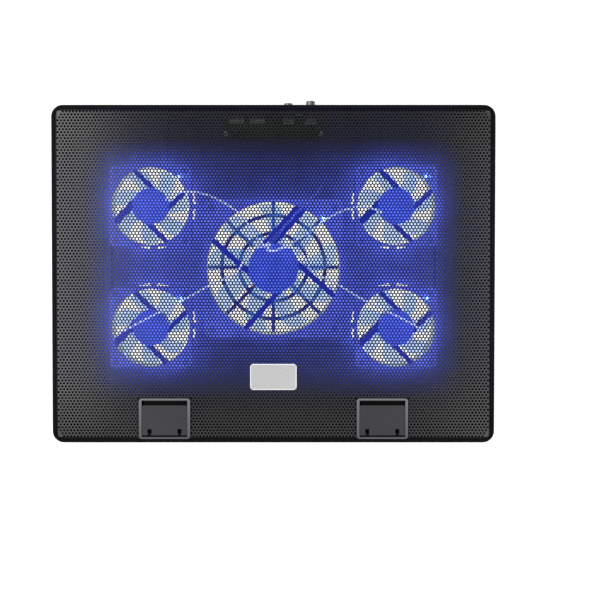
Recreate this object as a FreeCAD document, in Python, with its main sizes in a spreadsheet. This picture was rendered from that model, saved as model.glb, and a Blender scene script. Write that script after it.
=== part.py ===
import FreeCAD, Part
import math
import os

import Sketcher
from FreeCAD import Placement, Rotation, Vector

# Laptop cooling pad, 380 x 290 mm, with five fans under a steel panel.
# Frame: origin on the desk plane under the middle of the body, +X to the right,
# +Y to the rear (controls), -Y to the front (laptop stoppers), +Z up.

doc = FreeCAD.newDocument("LaptopCoolingPad")
sheet = doc.addObject("Spreadsheet::Sheet", "Dims")

# alias, value, note
TABLE = [
    # body
    ("body_width", 380, "overall width"),
    ("body_depth", 290, "overall depth without the knobs"),
    ("corner_radius", 10, "plan radius of the body corners"),
    ("foot_height", 3, "desk to underside of the base"),
    ("floor_thick", 2, "base floor"),
    ("wall_thick", 2.2, "side walls of both shells"),
    ("seam_height", 18, "joint between base shell and top frame"),
    ("top_height", 28, "top of the rim above the desk"),
    ("rim_width", 3.5, "visible rim around the panel"),
    ("ledge_reach", 8, "inner edge of the panel ledge from the outside"),
    ("ledge_thick", 2, "panel ledge"),
    ("ledge_round", 3, "plan radius of the ledge opening"),
    ("edge_round", 2.5, "rounding of the outer top and bottom edges"),
    ("panel_thick", 0.8, "steel panel"),
    ("panel_drop", 0.6, "panel top below the rim top"),
    ("panel_gap", 0.3, "clearance of panel in rim"),
    # fan positions
    ("corner_fan_across", 106, "corner fan axis from the middle"),
    ("corner_fan_rear", 58.5, "rear corner fans"),
    ("corner_fan_front", -46.5, "front corner fans"),
    ("center_fan_ahead", 5, "centre fan axis"),
    ("fan_seat", 6.5, "underside of the fans above the desk"),
    ("fan_thick", 15, "fan frame thickness"),
    ("flange_thick", 2.5, "fan frame flange"),
    ("duct_inset", 0.25, "duct outside from the side of the frame"),
    ("strut_thick", 2.5, "strut and motor disc thickness"),
    ("strut_root", 4, "inner end of a strut along its own line"),
    ("strut_bury", 1.6, "strut end past the duct radius"),
    ("tab_width", 5, "tab in the corner intake"),
    ("tab_reach", 34, "inner end of the tab from the fan axis"),
    # corner fan
    ("small_intake", 75, "intake opening diameter"),
    ("small_size", 70, "frame square"),
    ("small_bore", 67, "duct diameter"),
    ("small_pitch", 60, "screw pitch"),
    ("small_disc", 31, "motor disc diameter"),
    ("small_hub", 30, "hub diameter"),
    ("small_offset", 12, "strut line from the axis"),
    ("small_hand", -1, "side of the axis the strut lines pass on"),
    ("small_turn", 45, "angle of the first strut"),
    ("small_lead_strut", 2, "index of the strut that carries the lead"),
    ("small_strut", 4, "strut width"),
    ("small_wide", 6, "width of the strut that carries the lead"),
    ("small_round", 5, "frame corner radius"),
    ("small_blades", 7, "number of blades"),
    ("small_lean", 5.6, "blade end sideways from the blade middle"),
    # centre fan
    ("large_intake", 117, "intake opening diameter"),
    ("large_size", 120, "frame square"),
    ("large_bore", 115, "duct diameter"),
    ("large_pitch", 105, "screw pitch"),
    ("large_disc", 43, "motor disc diameter"),
    ("large_hub", 42, "hub diameter"),
    ("large_offset", 17, "strut line from the axis"),
    ("large_hand", 1, "side of the axis the strut lines pass on"),
    ("large_turn", 48, "angle of the first strut"),
    ("large_lead_strut", 0, "index of the strut that carries the leads"),
    ("large_strut", 4.4, "strut width"),
    ("large_wide", 10, "width of the strut that carries the leads"),
    ("large_round", 6, "frame corner radius"),
    ("large_blades", 9, "number of blades"),
    ("large_lean", 7.2, "blade end sideways from the blade middle"),
    # motor
    ("shaft_diameter", 3, "rotor shaft"),
    ("shaft_floor", 0.6, "hub end wall left below the shaft"),
    ("shaft_end_gap", 0.3, "shaft end below the motor disc"),
    ("bearing_gap", 0.03, "radial running clearance of the shaft"),
    ("sleeve_diameter", 5, "bearing sleeve outside"),
    ("sleeve_drop", 10.4, "low end of the sleeve below the fan top"),
    ("post_diameter", 7.2, "bearing post outside"),
    ("post_drop", 10.5, "low end of the post below the fan top"),
    ("post_bury", 0.2, "post into the motor disc"),
    ("hub_end", 1.6, "hub end wall"),
    ("hub_skirt", 1.4, "hub skirt wall"),
    ("hub_bottom", 1.5, "hub end above fan underside"),
    ("hub_depth", 10.3, "hub cup depth over all"),
    ("socket_diameter", 6.4, "shaft socket in the hub"),
    ("socket_rise", 0.8, "shaft socket above the hub end wall"),
    ("magnet_thick", 1.8, "magnet ring wall"),
    ("magnet_length", 7, "magnet ring"),
    ("magnet_rise", 0.7, "magnet ring above the hub end wall"),
    ("blade_thick", 1.3, "impeller blade, measured sideways"),
    ("blade_gap", 1.1, "blade tip to duct"),
    ("blade_root", 0.8, "blade starts inside the hub radius"),
    ("blade_inset", 0.4, "blade edges inside the hub ends"),
    ("blade_spare", 1, "added to the lean when the span is worked out"),
    ("stator_low", 5.6, "stator above the fan underside"),
    ("stator_thick", 4, "stator"),
    ("stator_gap", 0.6, "stator radius allowance inside the magnet"),
    ("stator_ring", 1.6, "wall of the stator ring"),
    ("pole_half", 1, "half width of a stator pole"),
    ("pole_inset", 0.8, "pole end inside the stator radius"),
    ("coil_half", 2.2, "half width of a coil"),
    ("coil_start", 2, "coil from the post"),
    ("coil_inset", 1.4, "coil end inside the stator radius"),
    ("coil_below", 0.8, "coil below the stator"),
    ("coil_above", 0.6, "coil above the stator"),
    ("circuit_thick", 1, "fan circuit board"),
    ("circuit_inset", 1, "circuit board edge inside the magnet"),
    ("circuit_gap", 0.1, "circuit board to motor disc"),
    ("screw_head", 5.4, "fan screw head diameter"),
    ("screw_head_thick", 1.8, "fan screw head"),
    ("screw_shank", 2.8, "fan screw shank diameter"),
    ("screw_reach", 2.4, "fan screw below the fan"),
    ("screw_recess", 0.9, "bottom of the cross above the fan top"),
    ("screw_hole", 4.3, "fan flange hole"),
    ("pilot_deep", 2.6, "fan screw pilot hole"),
    ("cross_half", 1.6, "half length of a cross recess"),
    ("cross_half_width", 0.35, "half width of a cross recess"),
    ("boss_diameter", 8, "screw boss"),
    ("led_diameter", 3, "fan light"),
    ("led_length", 5, "fan light body"),
    ("led_start", 0.1, "inner end of the light outside the duct radius"),
    ("led_gap", 0.05, "radial gap of the light hole"),
    ("led_hole_start", 1.5, "light hole starts inside the duct radius"),
    ("led_hole_length", 5, "light hole"),
    # grille in the centre intake
    ("grille_width", 3, "grille bars"),
    ("grille_ring_one", 30, "inner grille ring mid radius"),
    ("grille_ring_two", 45.7, "outer grille ring mid radius"),
    ("grille_hub", 14, "grille centre disc radius"),
    ("grille_root", 1, "bar end inside the centre disc"),
    ("bar_bury", 0.6, "bars and tabs into the floor"),
    # ribs on the floor
    ("rib_width", 1.6, "floor ribs"),
    ("rib_top", 12, "top of the inner ribs above the desk"),
    ("rib_low", 6.6, "top of the outer rib above the desk"),
    ("rib_left", -151, "outer rib"),
    ("rib_right", 153, "outer rib"),
    ("rib_front", -100.5, "outer rib"),
    ("rib_rear", 107, "outer rib"),
    ("rib_corner", 12, "plan radius outside the outer rib"),
    ("inner_side", 143, "inner rib from the middle"),
    ("inner_rear", 95.2, "inner rib behind the rear fans"),
    ("inner_front", -65, "inner rib between the front fans"),
    ("front_rib_half", 69, "half length of the inner front rib"),
    # badge
    ("badge_width", 39.8, "plate across"),
    ("badge_depth", 22.3, "plate front to rear"),
    ("badge_ahead", -88, "badge centre"),
    ("badge_round", 2.8, "plan radius of the corners"),
    ("badge_thick", 0.6, "plate"),
    ("badge_edge", 0.35, "rounding of the top edge"),
    ("badge_pin", 1.9, "badge pin diameter"),
    ("badge_pin_gap", 0.15, "radial gap in the panel"),
    ("badge_pin_past", 0.6, "pin below the panel"),
    ("badge_pin_across", 12, "badge pin from the badge centre"),
    # laptop stoppers
    ("stopper_across", 93.5, "stopper from the middle"),
    ("bezel_width", 44, "bezel across"),
    ("bezel_rear", -106.6, "rear edge of the bezel"),
    ("bezel_front", -141.3, "front edge of the bezel"),
    ("bezel_round", 2.5, "plan radius of the bezel corners"),
    ("tray_inset", 0.8, "tray wall inside the bezel flange"),
    ("tray_front_inset", 0.6, "front tray wall inside the bezel flange"),
    ("tray_gap", 0.3, "tray in the panel and ledge notches"),
    ("notch_front", 4.1, "front of the ledge notch from the outside"),
    ("tray_bottom", 22.4, "underside of the stopper tray"),
    ("tray_floor", 24, "inside floor of the stopper tray"),
    ("flange_top", 0.6, "bezel flange on the panel"),
    ("tray_half", 19.7, "half width inside the tray"),
    ("tray_back", -108.2, "rear wall inside the tray"),
    ("tray_lip", -139.8, "front wall inside the tray"),
    ("flap_width", 38.6, "flap across"),
    ("flap_rear", -112.6, "free edge of the flap"),
    ("flap_top", 27.6, "top face"),
    ("flap_thick", 3, "flap"),
    ("flap_round", 1.5, "corners of the free edge"),
    ("flap_axis", -137.6, "stopper hinge axis, along Y"),
    ("flap_axis_up", 26.1, "stopper hinge axis height"),
    ("flap_slot_across", 12.9, "slot from the flap middle"),
    ("flap_slot_width", 3.6, "slot across"),
    ("flap_slot_deep", 6.2, "slot length from the front end of the flap"),
    ("flap_slot_ahead", 3, "slot outline ahead of the hinge axis"),
    ("lug_width", 2.8, "hinge lug in the slot"),
    ("lug_bury", 0.5, "lug into the tray walls"),
    ("stopper_pin", 1.6, "stopper hinge pin diameter"),
    ("stopper_pin_gap", 0.05, "radial gap of the pin in the flap"),
    ("stopper_pin_inset", 0.5, "pin end inside the tray side"),
    # rear controls
    ("control_up", 11, "height of the control axes"),
    ("knob_one_across", 13, "centre fan speed knob"),
    ("knob_two_across", 32.4, "corner fans speed knob"),
    ("knob_one_size", 7.8, "diameter"),
    ("knob_two_size", 8.3, "diameter"),
    ("knob_one_end", 148.4, "outer face of the knob"),
    ("knob_two_end", 150.3, "outer face of the knob"),
    ("knob_inner", 140.8, "inner face of both knobs"),
    ("knob_gap", 0.6, "radial gap in the wall"),
    ("knob_edge", 0.5, "chamfer of the outer edge"),
    ("knob_socket", 5.2, "depth of the shaft socket"),
    ("groove_start", 2.4, "grooves from the inner face"),
    ("groove_radius", 0.45, "grip groove"),
    ("groove_out", 0.12, "groove centre outside the knob radius"),
    ("control_shaft", 3, "control shaft diameter"),
    ("shaft_start", 134.2, "inner end of the control shaft"),
    ("pot_half", 4.9, "half width of a speed control"),
    ("pot_front", 129.5, "speed control case"),
    ("pot_rear", 138.2, "speed control case"),
    ("pot_height", 6, "speed control case"),
    ("nose_radius", 2.6, "speed control nose"),
    ("nose_length", 1.6, "speed control nose"),
    ("pot_hole_start", 133.8, "shaft hole of the speed control"),
    ("pot_hole_length", 7, "shaft hole of the speed control"),
    ("pot_hole_gap", 0.05, "radial gap round the shaft"),
    ("button_across", 2.5, "push-button"),
    ("button_width", 5, "push-button"),
    ("button_height", 3, "push-button"),
    ("button_end", 145.5, "outer face of the button"),
    ("button_inner", 139.2, "inner face of the button"),
    ("button_gap", 0.2, "gap round the button"),
    ("stem_radius", 0.85, "button stem"),
    ("stem_length", 2.4, "button stem and its hole"),
    ("stem_out", 2, "stem ahead of the button"),
    ("stem_gap", 0.1, "radial gap of the stem"),
    ("switch_half", 3, "half width of the light switch"),
    ("switch_front", 132, "light switch"),
    ("switch_rear", 138, "light switch"),
    ("switch_height", 5, "light switch"),
    ("switch_hole_start", 135.8, "bottom of the stem hole"),
    ("lens_across", 22.5, "indicator"),
    ("lens_size", 3.2, "indicator diameter"),
    ("lens_end", 146.7, "tip of the indicator"),
    ("lens_gap", 0.05, "radial gap in the wall"),
    ("lens_start", 139, "inner end of the indicator's round part"),
    ("lens_lap", 0.4, "round part into the dome"),
    ("lens_foot_half", 2, "half width of the indicator's block"),
    ("lens_foot_front", 137.8, "indicator's block"),
    ("lens_foot_rear", 139.4, "indicator's block"),
    ("lens_foot_top", 1.9, "top of the block above the axis"),
    ("usb_one_across", -14, "USB socket near the middle"),
    ("usb_two_across", -32, "USB socket further left"),
    ("usb_width", 13.2, "USB socket shell"),
    ("usb_height", 5.8, "USB socket shell"),
    ("usb_length", 14, "USB socket shell"),
    ("usb_wall", 0.35, "USB socket shell"),
    ("usb_front", 144.8, "mouth of the socket"),
    ("usb_gap", 0.2, "gap round the socket"),
    ("usb_depth", 9.6, "mouth to the block in the socket"),
    ("tongue_half", 5.55, "half width of the tongue"),
    ("tongue_root", 9.8, "inner end from the mouth"),
    ("tongue_tip", 0.7, "outer end from the mouth"),
    ("tongue_low", 2.4, "underside below the shell's inner top"),
    ("tongue_high", 0.56, "top below the shell's inner top"),
    ("board_top", 8, "top of the control board"),
    ("board_thick", 1.6, "control board"),
    ("board_half", 45, "half length of the board"),
    ("board_front", 119, "front edge of the board"),
    ("board_rear", 140.4, "rear edge of the board"),
    ("board_inset", 3.2, "board screws from the board edges"),
    ("board_boss", 5.6, "board screw boss diameter"),
    ("board_hole", 2.6, "board hole diameter"),
    ("board_head", 4.2, "board screw head diameter"),
    ("board_head_thick", 1.3, "board screw head"),
    ("board_shank", 2, "board screw shank diameter"),
    ("board_reach", 1.2, "board screw below the board"),
    ("board_slot_up", 0.7, "bottom of the slot above the board"),
    ("board_slot_half", 1.4, "half length of the slot"),
    ("board_slot_half_width", 0.3, "half width of the slot"),
    ("header_across", 29, "lead header and plug"),
    # rear legs
    ("leg_across", 120, "leg from the middle"),
    ("leg_width", 44, "leg across"),
    ("leg_front", 99.5, "free end of the stowed leg"),
    ("leg_axis", 138, "leg hinge axis along Y"),
    ("leg_axis_up", 4.2, "leg hinge axis height"),
    ("leg_thick", 3.6, "leg"),
    ("leg_well_gap", 0.6, "gap beside the leg"),
    ("leg_well_front", 2.6, "well ahead of the leg"),
    ("leg_well_rear", 3, "well behind the hinge axis"),
    ("leg_roof", 6.4, "roof of the leg well"),
    ("leg_block_top", 8.4, "top of the block around the well"),
    ("leg_block_side", 4, "wall beside the well"),
    ("leg_block_front", 5.2, "block ahead of the leg"),
    ("leg_block_bury", 0.6, "block into the rear wall"),
    ("leg_notch_radius", 8, "finger notch"),
    ("leg_notch_ahead", 1, "notch centre ahead of the leg"),
    ("leg_notch_deep", 1.4, "finger notch"),
    ("leg_window_half", 13, "half width of the leg window"),
    ("leg_window_front", 9, "window from the free end"),
    ("leg_window_rear", 6, "window from the hinge axis"),
    ("leg_window_round", 3, "window corners"),
    ("leg_pin", 2, "leg hinge pin diameter"),
    ("leg_pin_gap", 0.06, "radial gap of the pin in the leg"),
    ("leg_pin_past", 3.8, "pin past each side of the leg"),
    ("leg_pin_hole_past", 4, "pin hole past each side of the leg"),
    ("leg_tip_long", 1.6, "tip ahead of the leg"),
    ("leg_tip_side", 2, "tip inside the sides of the leg"),
    ("leg_tip_inset", 0.3, "tip inside the leg faces"),
    # feet and case screws
    ("foot_size", 14, "rubber foot diameter"),
    ("foot_sink", 0.6, "depth of the foot recess"),
    ("foot_across", 164, "corner feet"),
    ("foot_along", 122, "corner feet"),
    ("foot_mid_across", 50, "front feet"),
    ("foot_mid_along", -122, "front feet"),
    ("case_side", 179.5, "case screws from the middle, along X"),
    ("case_end", 134.5, "case screws from the middle, along Y"),
    ("case_rear_across", 75, "rear case screws"),
    ("case_hole", 3.2, "case screw clearance hole"),
    ("case_head", 5.6, "case screw head"),
    ("case_head_thick", 2.2, "case screw head"),
    ("case_head_gap", 0.3, "radial gap round the head"),
    ("case_head_sink", 1.2, "head above the underside of the base"),
    ("case_recess", 1, "depth of the cross in the head"),
    ("case_shank", 2.6, "case screw shank"),
    ("case_reach", 5.5, "case screw above the seam"),
    ("case_pilot", 6, "pilot hole above the seam"),
    ("web_half", 1, "half thickness of the boss webs"),
    ("web_start", 3, "web from the boss axis"),
    ("web_bury", 0.5, "web into the wall"),
    # leads
    ("splice_radius", 2.3, "splice sleeve"),
    ("splice_length", 11, "splice sleeve"),
]
OVER = 1  # how far cutting shapes run past the material
SIDES = (("left", -1), ("right", 1))


class Size:
    """A number that also knows its spreadsheet expression."""

    def __init__(self, text, value):
        self.text, self.value = text, float(value)

    @staticmethod
    def of(x):
        return x if isinstance(x, Size) else Size(repr(float(x)), x)

    def _join(self, other, sign, value):
        return Size("(%s %s %s)" % (self.text, sign, Size.of(other).text), value)

    def __add__(self, other):
        return self._join(other, "+", self.value + Size.of(other).value)

    def __sub__(self, other):
        return self._join(other, "-", self.value - Size.of(other).value)

    def __mul__(self, other):
        return self._join(other, "*", self.value * Size.of(other).value)

    def __truediv__(self, other):
        return self._join(other, "/", self.value / Size.of(other).value)

    def __radd__(self, other):
        return Size.of(other) + self

    def __rsub__(self, other):
        return Size.of(other) - self

    def __rmul__(self, other):
        return Size.of(other) * self

    def __neg__(self):
        return Size("(0 - %s)" % self.text, -self.value)


class Sizes:
    """The sheet's aliases as attributes, with an optional common prefix."""

    def __init__(self, prefix=""):
        self.prefix = prefix

    def __getattr__(self, name):
        alias = self.prefix + name
        return Size("Dims." + alias, getattr(sheet, alias))


for row, (alias, value, note) in enumerate(TABLE, start=1):
    sheet.set("A%d" % row, alias)
    sheet.set("B%d" % row, str(value))
    sheet.set("C%d" % row, note)
    sheet.setAlias("B%d" % row, alias)
doc.recompute()

dim = Sizes()
SMALL, LARGE = Sizes("small_"), Sizes("large_")
ZERO = Size("0", 0)
PIECES = []


def bind(obj, path, size):
    obj.setExpression(path, Size.of(size).text)


def place(obj, x=0, y=0, z=0, rotation=Rotation()):
    """Put an object at x, y, z, binding each that depends on the sheet."""
    x, y, z = Size.of(x), Size.of(y), Size.of(z)
    obj.Placement = Placement(Vector(x.value, y.value, z.value), rotation)
    for axis, size in zip("xyz", (x, y, z)):
        if "Dims" in size.text:
            bind(obj, "Placement.Base." + axis, size)
    return obj


def keep(obj, label):
    """Name a finished piece; a body's last feature merges its coplanar faces."""
    obj.Label = label
    if obj.TypeId == "PartDesign::Body":
        obj.Tip.Refine = True
    PIECES.append(obj)


# ---------------------------------------------------------------- sketches


def new_body(name):
    return doc.addObject("PartDesign::Body", name)


def sketch(body, up=ZERO, role="XY_Plane"):
    """A sketch on one of the body's planes, moved along its normal by up."""
    outline = body.newObject("Sketcher::SketchObject", "Sketch")
    plane = next(f for f in body.Origin.OriginFeatures if f.Role == role)
    outline.AttachmentSupport = [(plane, "")]
    outline.MapMode = "FlatFace"
    up = Size.of(up)
    outline.AttachmentOffset = Placement(Vector(0, 0, up.value), Rotation())
    if "Dims" in up.text:
        bind(outline, "AttachmentOffset.Base.z", up)
    return outline


def fix(outline, kind, args, size):
    """Add a dimensional constraint, bound if it depends on the sheet."""
    size = Size.of(size)
    index = outline.addConstraint(Sketcher.Constraint(kind, *args, size.value))
    if "Dims" in size.text:
        name = "length%d" % index
        outline.renameConstraint(index, name)
        bind(outline, "Constraints." + name, size)


def circle(outline, radius, x=ZERO, y=ZERO):
    radius, x, y = Size.of(radius), Size.of(x), Size.of(y)
    curve = Part.Circle(Vector(x.value, y.value, 0), Vector(0, 0, 1), radius.value)
    index = outline.addGeometry(curve, False)
    if x.text == "0" and y.text == "0":
        outline.addConstraint(Sketcher.Constraint("Coincident", index, 3, -1, 1))
    else:
        fix(outline, "DistanceX", (-1, 1, index, 3), x)
        fix(outline, "DistanceY", (-1, 1, index, 3), y)
    fix(outline, "Radius", (index,), radius)


def circles(outline, radius, spots):
    for x, y in spots:
        circle(outline, radius, x, y)


def closed_lines(outline, points):
    """Lines joined in a ring; returns the index of the first."""
    count = len(points)
    lines = [Part.LineSegment(points[i], points[(i + 1) % count]) for i in range(count)]
    first = outline.addGeometry(lines, False)[0]
    outline.addConstraint(
        [
            Sketcher.Constraint("Coincident", first + i, 2, first + (i + 1) % count, 1)
            for i in range(count)
        ]
    )
    return first


def rect(outline, x0, x1, y0, y1):
    x0, x1, y0, y1 = (Size.of(size) for size in (x0, x1, y0, y1))
    first = closed_lines(
        outline,
        [
            Vector(x0.value, y0.value),
            Vector(x1.value, y0.value),
            Vector(x1.value, y1.value),
            Vector(x0.value, y1.value),
        ],
    )
    for i, way in enumerate(("Horizontal", "Vertical") * 2):
        outline.addConstraint(Sketcher.Constraint(way, first + i))
    fix(outline, "DistanceX", (-1, 1, first, 1), x0)
    fix(outline, "DistanceX", (-1, 1, first, 2), x1)
    fix(outline, "DistanceY", (-1, 1, first, 1), y0)
    fix(outline, "DistanceY", (-1, 1, first + 2, 1), y1)


def round_rect(outline, x0, x1, y0, y1, radius):
    x0, x1, y0, y1, radius = (Size.of(size) for size in (x0, x1, y0, y1, radius))
    left, right, low, high, r = (size.value for size in (x0, x1, y0, y1, radius))
    quarter = math.pi / 2

    def arc(x, y, start):
        whole = Part.Circle(Vector(x, y, 0), Vector(0, 0, 1), r)
        return Part.ArcOfCircle(whole, start, start + quarter)

    geometry = [
        Part.LineSegment(Vector(left + r, low), Vector(right - r, low)),
        arc(right - r, low + r, -quarter),
        Part.LineSegment(Vector(right, low + r), Vector(right, high - r)),
        arc(right - r, high - r, 0),
        Part.LineSegment(Vector(right - r, high), Vector(left + r, high)),
        arc(left + r, high - r, quarter),
        Part.LineSegment(Vector(left, high - r), Vector(left, low + r)),
        arc(left + r, low + r, 2 * quarter),
    ]
    first = outline.addGeometry(geometry, False)[0]
    rules = [("Tangent", first + i, 2, first + (i + 1) % 8, 1) for i in range(8)]
    rules += [("Horizontal", first), ("Vertical", first + 2)]
    rules += [("Horizontal", first + 4), ("Vertical", first + 6)]
    rules += [("Equal", first + 1, first + i) for i in (3, 5, 7)]
    outline.addConstraint([Sketcher.Constraint(*rule) for rule in rules])
    fix(outline, "Radius", (first + 1,), radius)
    fix(outline, "DistanceX", (-1, 1, first + 6, 1), x0)
    fix(outline, "DistanceX", (-1, 1, first + 2, 1), x1)
    fix(outline, "DistanceY", (-1, 1, first, 1), y0)
    fix(outline, "DistanceY", (-1, 1, first + 4, 1), y1)


def polygon(outline, points):
    """A closed outline whose corners are each fixed from the origin."""
    points = [(Size.of(x), Size.of(y)) for x, y in points]
    first = closed_lines(outline, [Vector(x.value, y.value) for x, y in points])
    for i, (x, y) in enumerate(points):
        fix(outline, "DistanceX", (-1, 1, first + i, 1), x)
        fix(outline, "DistanceY", (-1, 1, first + i, 1), y)


def bar(outline, angle, start, end, width, x=ZERO, y=ZERO, offset=ZERO):
    """A straight bar at an angle, its middle line passing x, y at the offset."""
    cos, sin = math.cos(math.radians(angle)), math.sin(math.radians(angle))
    points = []
    for along, side in ((start, -0.5), (end, -0.5), (end, 0.5), (start, 0.5)):
        across = offset + width * side
        points.append((x + (along * cos - across * sin), y + (along * sin + across * cos)))
    polygon(outline, points)


# ---------------------------------------------------------------- features


def extrude(kind, body, outline, length, reverse):
    feature = body.newObject("PartDesign::" + kind, kind)
    feature.Profile = outline
    feature.Refine = False
    feature.Reversed = reverse
    feature.Length = Size.of(length).value
    bind(feature, "Length", length)
    return feature


def pad(body, outline, length, down=False):
    return extrude("Pad", body, outline, length, down)


def pocket(body, outline, length, up=True):
    """Cut along the sketch normal, or against it with up=False."""
    return extrude("Pocket", body, outline, length, up)


def dress(body, kind, prop, test, size):
    """Fillet or chamfer the edges of the body that pass the test."""
    doc.recompute()
    base = body.Tip
    names = ["Edge%d" % (i + 1) for i, edge in enumerate(base.Shape.Edges) if test(edge)]
    if not names:
        raise RuntimeError("no edge to dress on " + body.Name)
    feature = body.newObject("PartDesign::" + kind, kind)
    feature.Base = (base, names)
    setattr(feature, prop, size.value)
    bind(feature, prop, size)


def fillet(body, test, radius):
    dress(body, "Fillet", "Radius", test, radius)


def lies_at(axis, size):
    """Test for edges lying wholly in the plane at that place on the axis."""

    def test(edge):
        bounds = edge.BoundBox
        ends = (getattr(bounds, axis + "Min"), getattr(bounds, axis + "Max"))
        return all(abs(end - size.value) < 1e-4 for end in ends)

    return test


def bore_along_x(body, start, length, radius, y, z):
    outline = sketch(body, start, "YZ_Plane")
    circle(outline, radius, y, z)
    pocket(body, outline, length)


# ---------------------------------------------------------------- primitives

UPRIGHT = Rotation()
ALONG_X = Rotation(Vector(0, 1, 0), 90)
ALONG_Y = Rotation(Vector(1, 0, 0), -90)


def outward(angle):
    """Turns Z to the level direction at that angle from +X."""
    turn = math.radians(angle)
    return Rotation(Vector(0, 0, 1), Vector(math.cos(turn), math.sin(turn), 0))


def box(x0, x1, y0, y1, z0, z1):
    x0, x1, y0, y1, z0, z1 = (Size.of(size) for size in (x0, x1, y0, y1, z0, z1))
    block = doc.addObject("Part::Box", "Box")
    bind(block, "Length", x1 - x0)
    bind(block, "Width", y1 - y0)
    bind(block, "Height", z1 - z0)
    return place(block, x0, y0, z0)


def rod(radius, length, x=0, y=0, z=0, turn=UPRIGHT):
    cylinder = doc.addObject("Part::Cylinder", "Rod")
    bind(cylinder, "Radius", radius)
    bind(cylinder, "Height", length)
    return place(cylinder, x, y, z, turn)


def fuse(parts):
    union = doc.addObject("Part::MultiFuse", "Fuse")
    union.Shapes = parts
    return union


def cut(base, tool):
    difference = doc.addObject("Part::Cut", "Cut")
    difference.Base, difference.Tool = base, tool
    return difference


def group(parts):
    compound = doc.addObject("Part::Compound", "Group")
    compound.Links = parts
    return compound


def bored(part, radius, length, x, y, z):
    """Cut an upright bore through a part that stands from z over the length."""
    return cut(part, rod(radius, length + 2 * OVER, x, y, z - OVER))


def cross(x, y, low, high):
    """Tool for a cross recess."""
    long, thin = dim.cross_half, dim.cross_half_width
    return fuse(
        [
            box(x - long, x + long, y - thin, y + thin, low, high),
            box(x - thin, x + thin, y - long, y + long, low, high),
        ]
    )


# ================================================================ shared places

half_x, half_y = dim.body_width / 2, dim.body_depth / 2
inner_x, inner_y = half_x - dim.wall_thick, half_y - dim.wall_thick
inner_round = dim.corner_radius - dim.wall_thick
rim_x, rim_y = half_x - dim.rim_width, half_y - dim.rim_width
ledge_x, ledge_y = half_x - dim.ledge_reach, half_y - dim.ledge_reach
floor_top = dim.foot_height + dim.floor_thick
below_base = dim.foot_height - OVER
panel_top = dim.top_height - dim.panel_drop
ledge_top = panel_top - dim.panel_thick
ledge_low = ledge_top - dim.ledge_thick
notch_half = dim.bezel_width / 2 - dim.tray_inset + dim.tray_gap
board_low = dim.board_top - dim.board_thick
disc_z = dim.fan_thick - dim.strut_thick  # motor disc above the fan underside

# label, axis x, axis y, sizes
FANS = [
    ("center", ZERO, dim.center_fan_ahead, LARGE),
    ("rear_left", -dim.corner_fan_across, dim.corner_fan_rear, SMALL),
    ("rear_right", dim.corner_fan_across, dim.corner_fan_rear, SMALL),
    ("front_left", -dim.corner_fan_across, dim.corner_fan_front, SMALL),
    ("front_right", dim.corner_fan_across, dim.corner_fan_front, SMALL),
]
# across, size, outer face
KNOBS = [
    ("center_fan", dim.knob_one_across, dim.knob_one_size, dim.knob_one_end),
    ("corner_fans", dim.knob_two_across, dim.knob_two_size, dim.knob_two_end),
]
USB_ACROSS = (dim.usb_one_across, dim.usb_two_across)


def corners(x, y0, y1):
    return [(-x, y0), (x, y0), (-x, y1), (x, y1)]


def fan_screw_spots(x, y, fan):
    half = fan.pitch / 2
    return [(x + half * i, y + half * j) for i, j in ((1, 1), (-1, 1), (-1, -1), (1, -1))]


CORNER_CASE = corners(dim.case_side, -dim.case_end, dim.case_end)
END_CASE = [
    (ZERO, -dim.case_end),
    (-dim.case_rear_across, dim.case_end),
    (dim.case_rear_across, dim.case_end),
]
SIDE_CASE = [(-dim.case_side, ZERO), (dim.case_side, ZERO)]
CASE = CORNER_CASE + END_CASE + SIDE_CASE
FEET = corners(dim.foot_across, -dim.foot_along, dim.foot_along) + [
    (-dim.foot_mid_across, dim.foot_mid_along),
    (dim.foot_mid_across, dim.foot_mid_along),
]
BOARD_SCREWS = corners(
    dim.board_half - dim.board_inset,
    dim.board_front + dim.board_inset,
    dim.board_rear - dim.board_inset,
)
FAN_SCREWS = [spot for _, x, y, fan in FANS for spot in fan_screw_spots(x, y, fan)]

# ================================================================ base shell


def base_tray(body):
    outline = sketch(body, dim.foot_height)
    round_rect(outline, -half_x, half_x, -half_y, half_y, dim.corner_radius)
    pad(body, outline, dim.seam_height - dim.foot_height)
    fillet(body, lies_at("Z", dim.foot_height), dim.edge_round)
    outline = sketch(body, floor_top)
    round_rect(outline, -inner_x, inner_x, -inner_y, inner_y, inner_round)
    pocket(body, outline, dim.seam_height - floor_top + OVER)


def base_intakes(body):
    outline = sketch(body, below_base)
    for _, x, y, fan in FANS:
        circle(outline, fan.intake / 2, x, y)
    pocket(body, outline, dim.floor_thick + 2 * OVER)
    # centre grille: two rings, a disc and eight bars
    middle, half = dim.center_fan_ahead, dim.grille_width / 2
    outline = sketch(body, dim.foot_height)
    for ring in (dim.grille_ring_two, dim.grille_ring_one):
        circle(outline, ring + half, ZERO, middle)
        circle(outline, ring - half, ZERO, middle)
    circle(outline, dim.grille_hub, ZERO, middle)
    pad(body, outline, dim.floor_thick)
    start, end = dim.grille_hub - dim.grille_root, LARGE.intake / 2 + dim.bar_bury
    for i in range(8):
        outline = sketch(body, dim.foot_height)
        bar(outline, 45 * i, start, end, dim.grille_width, ZERO, middle)
        pad(body, outline, dim.floor_thick)
    # tabs under the middle of each corner fan's sides
    for _, x, y, fan in FANS[1:]:
        outline = sketch(body, dim.foot_height)
        end = fan.intake / 2 + dim.bar_bury
        for angle in (0, 90, 180, 270):
            bar(outline, angle, dim.tab_reach, end, dim.tab_width, x, y)
        pad(body, outline, dim.fan_seat - dim.foot_height)


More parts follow.
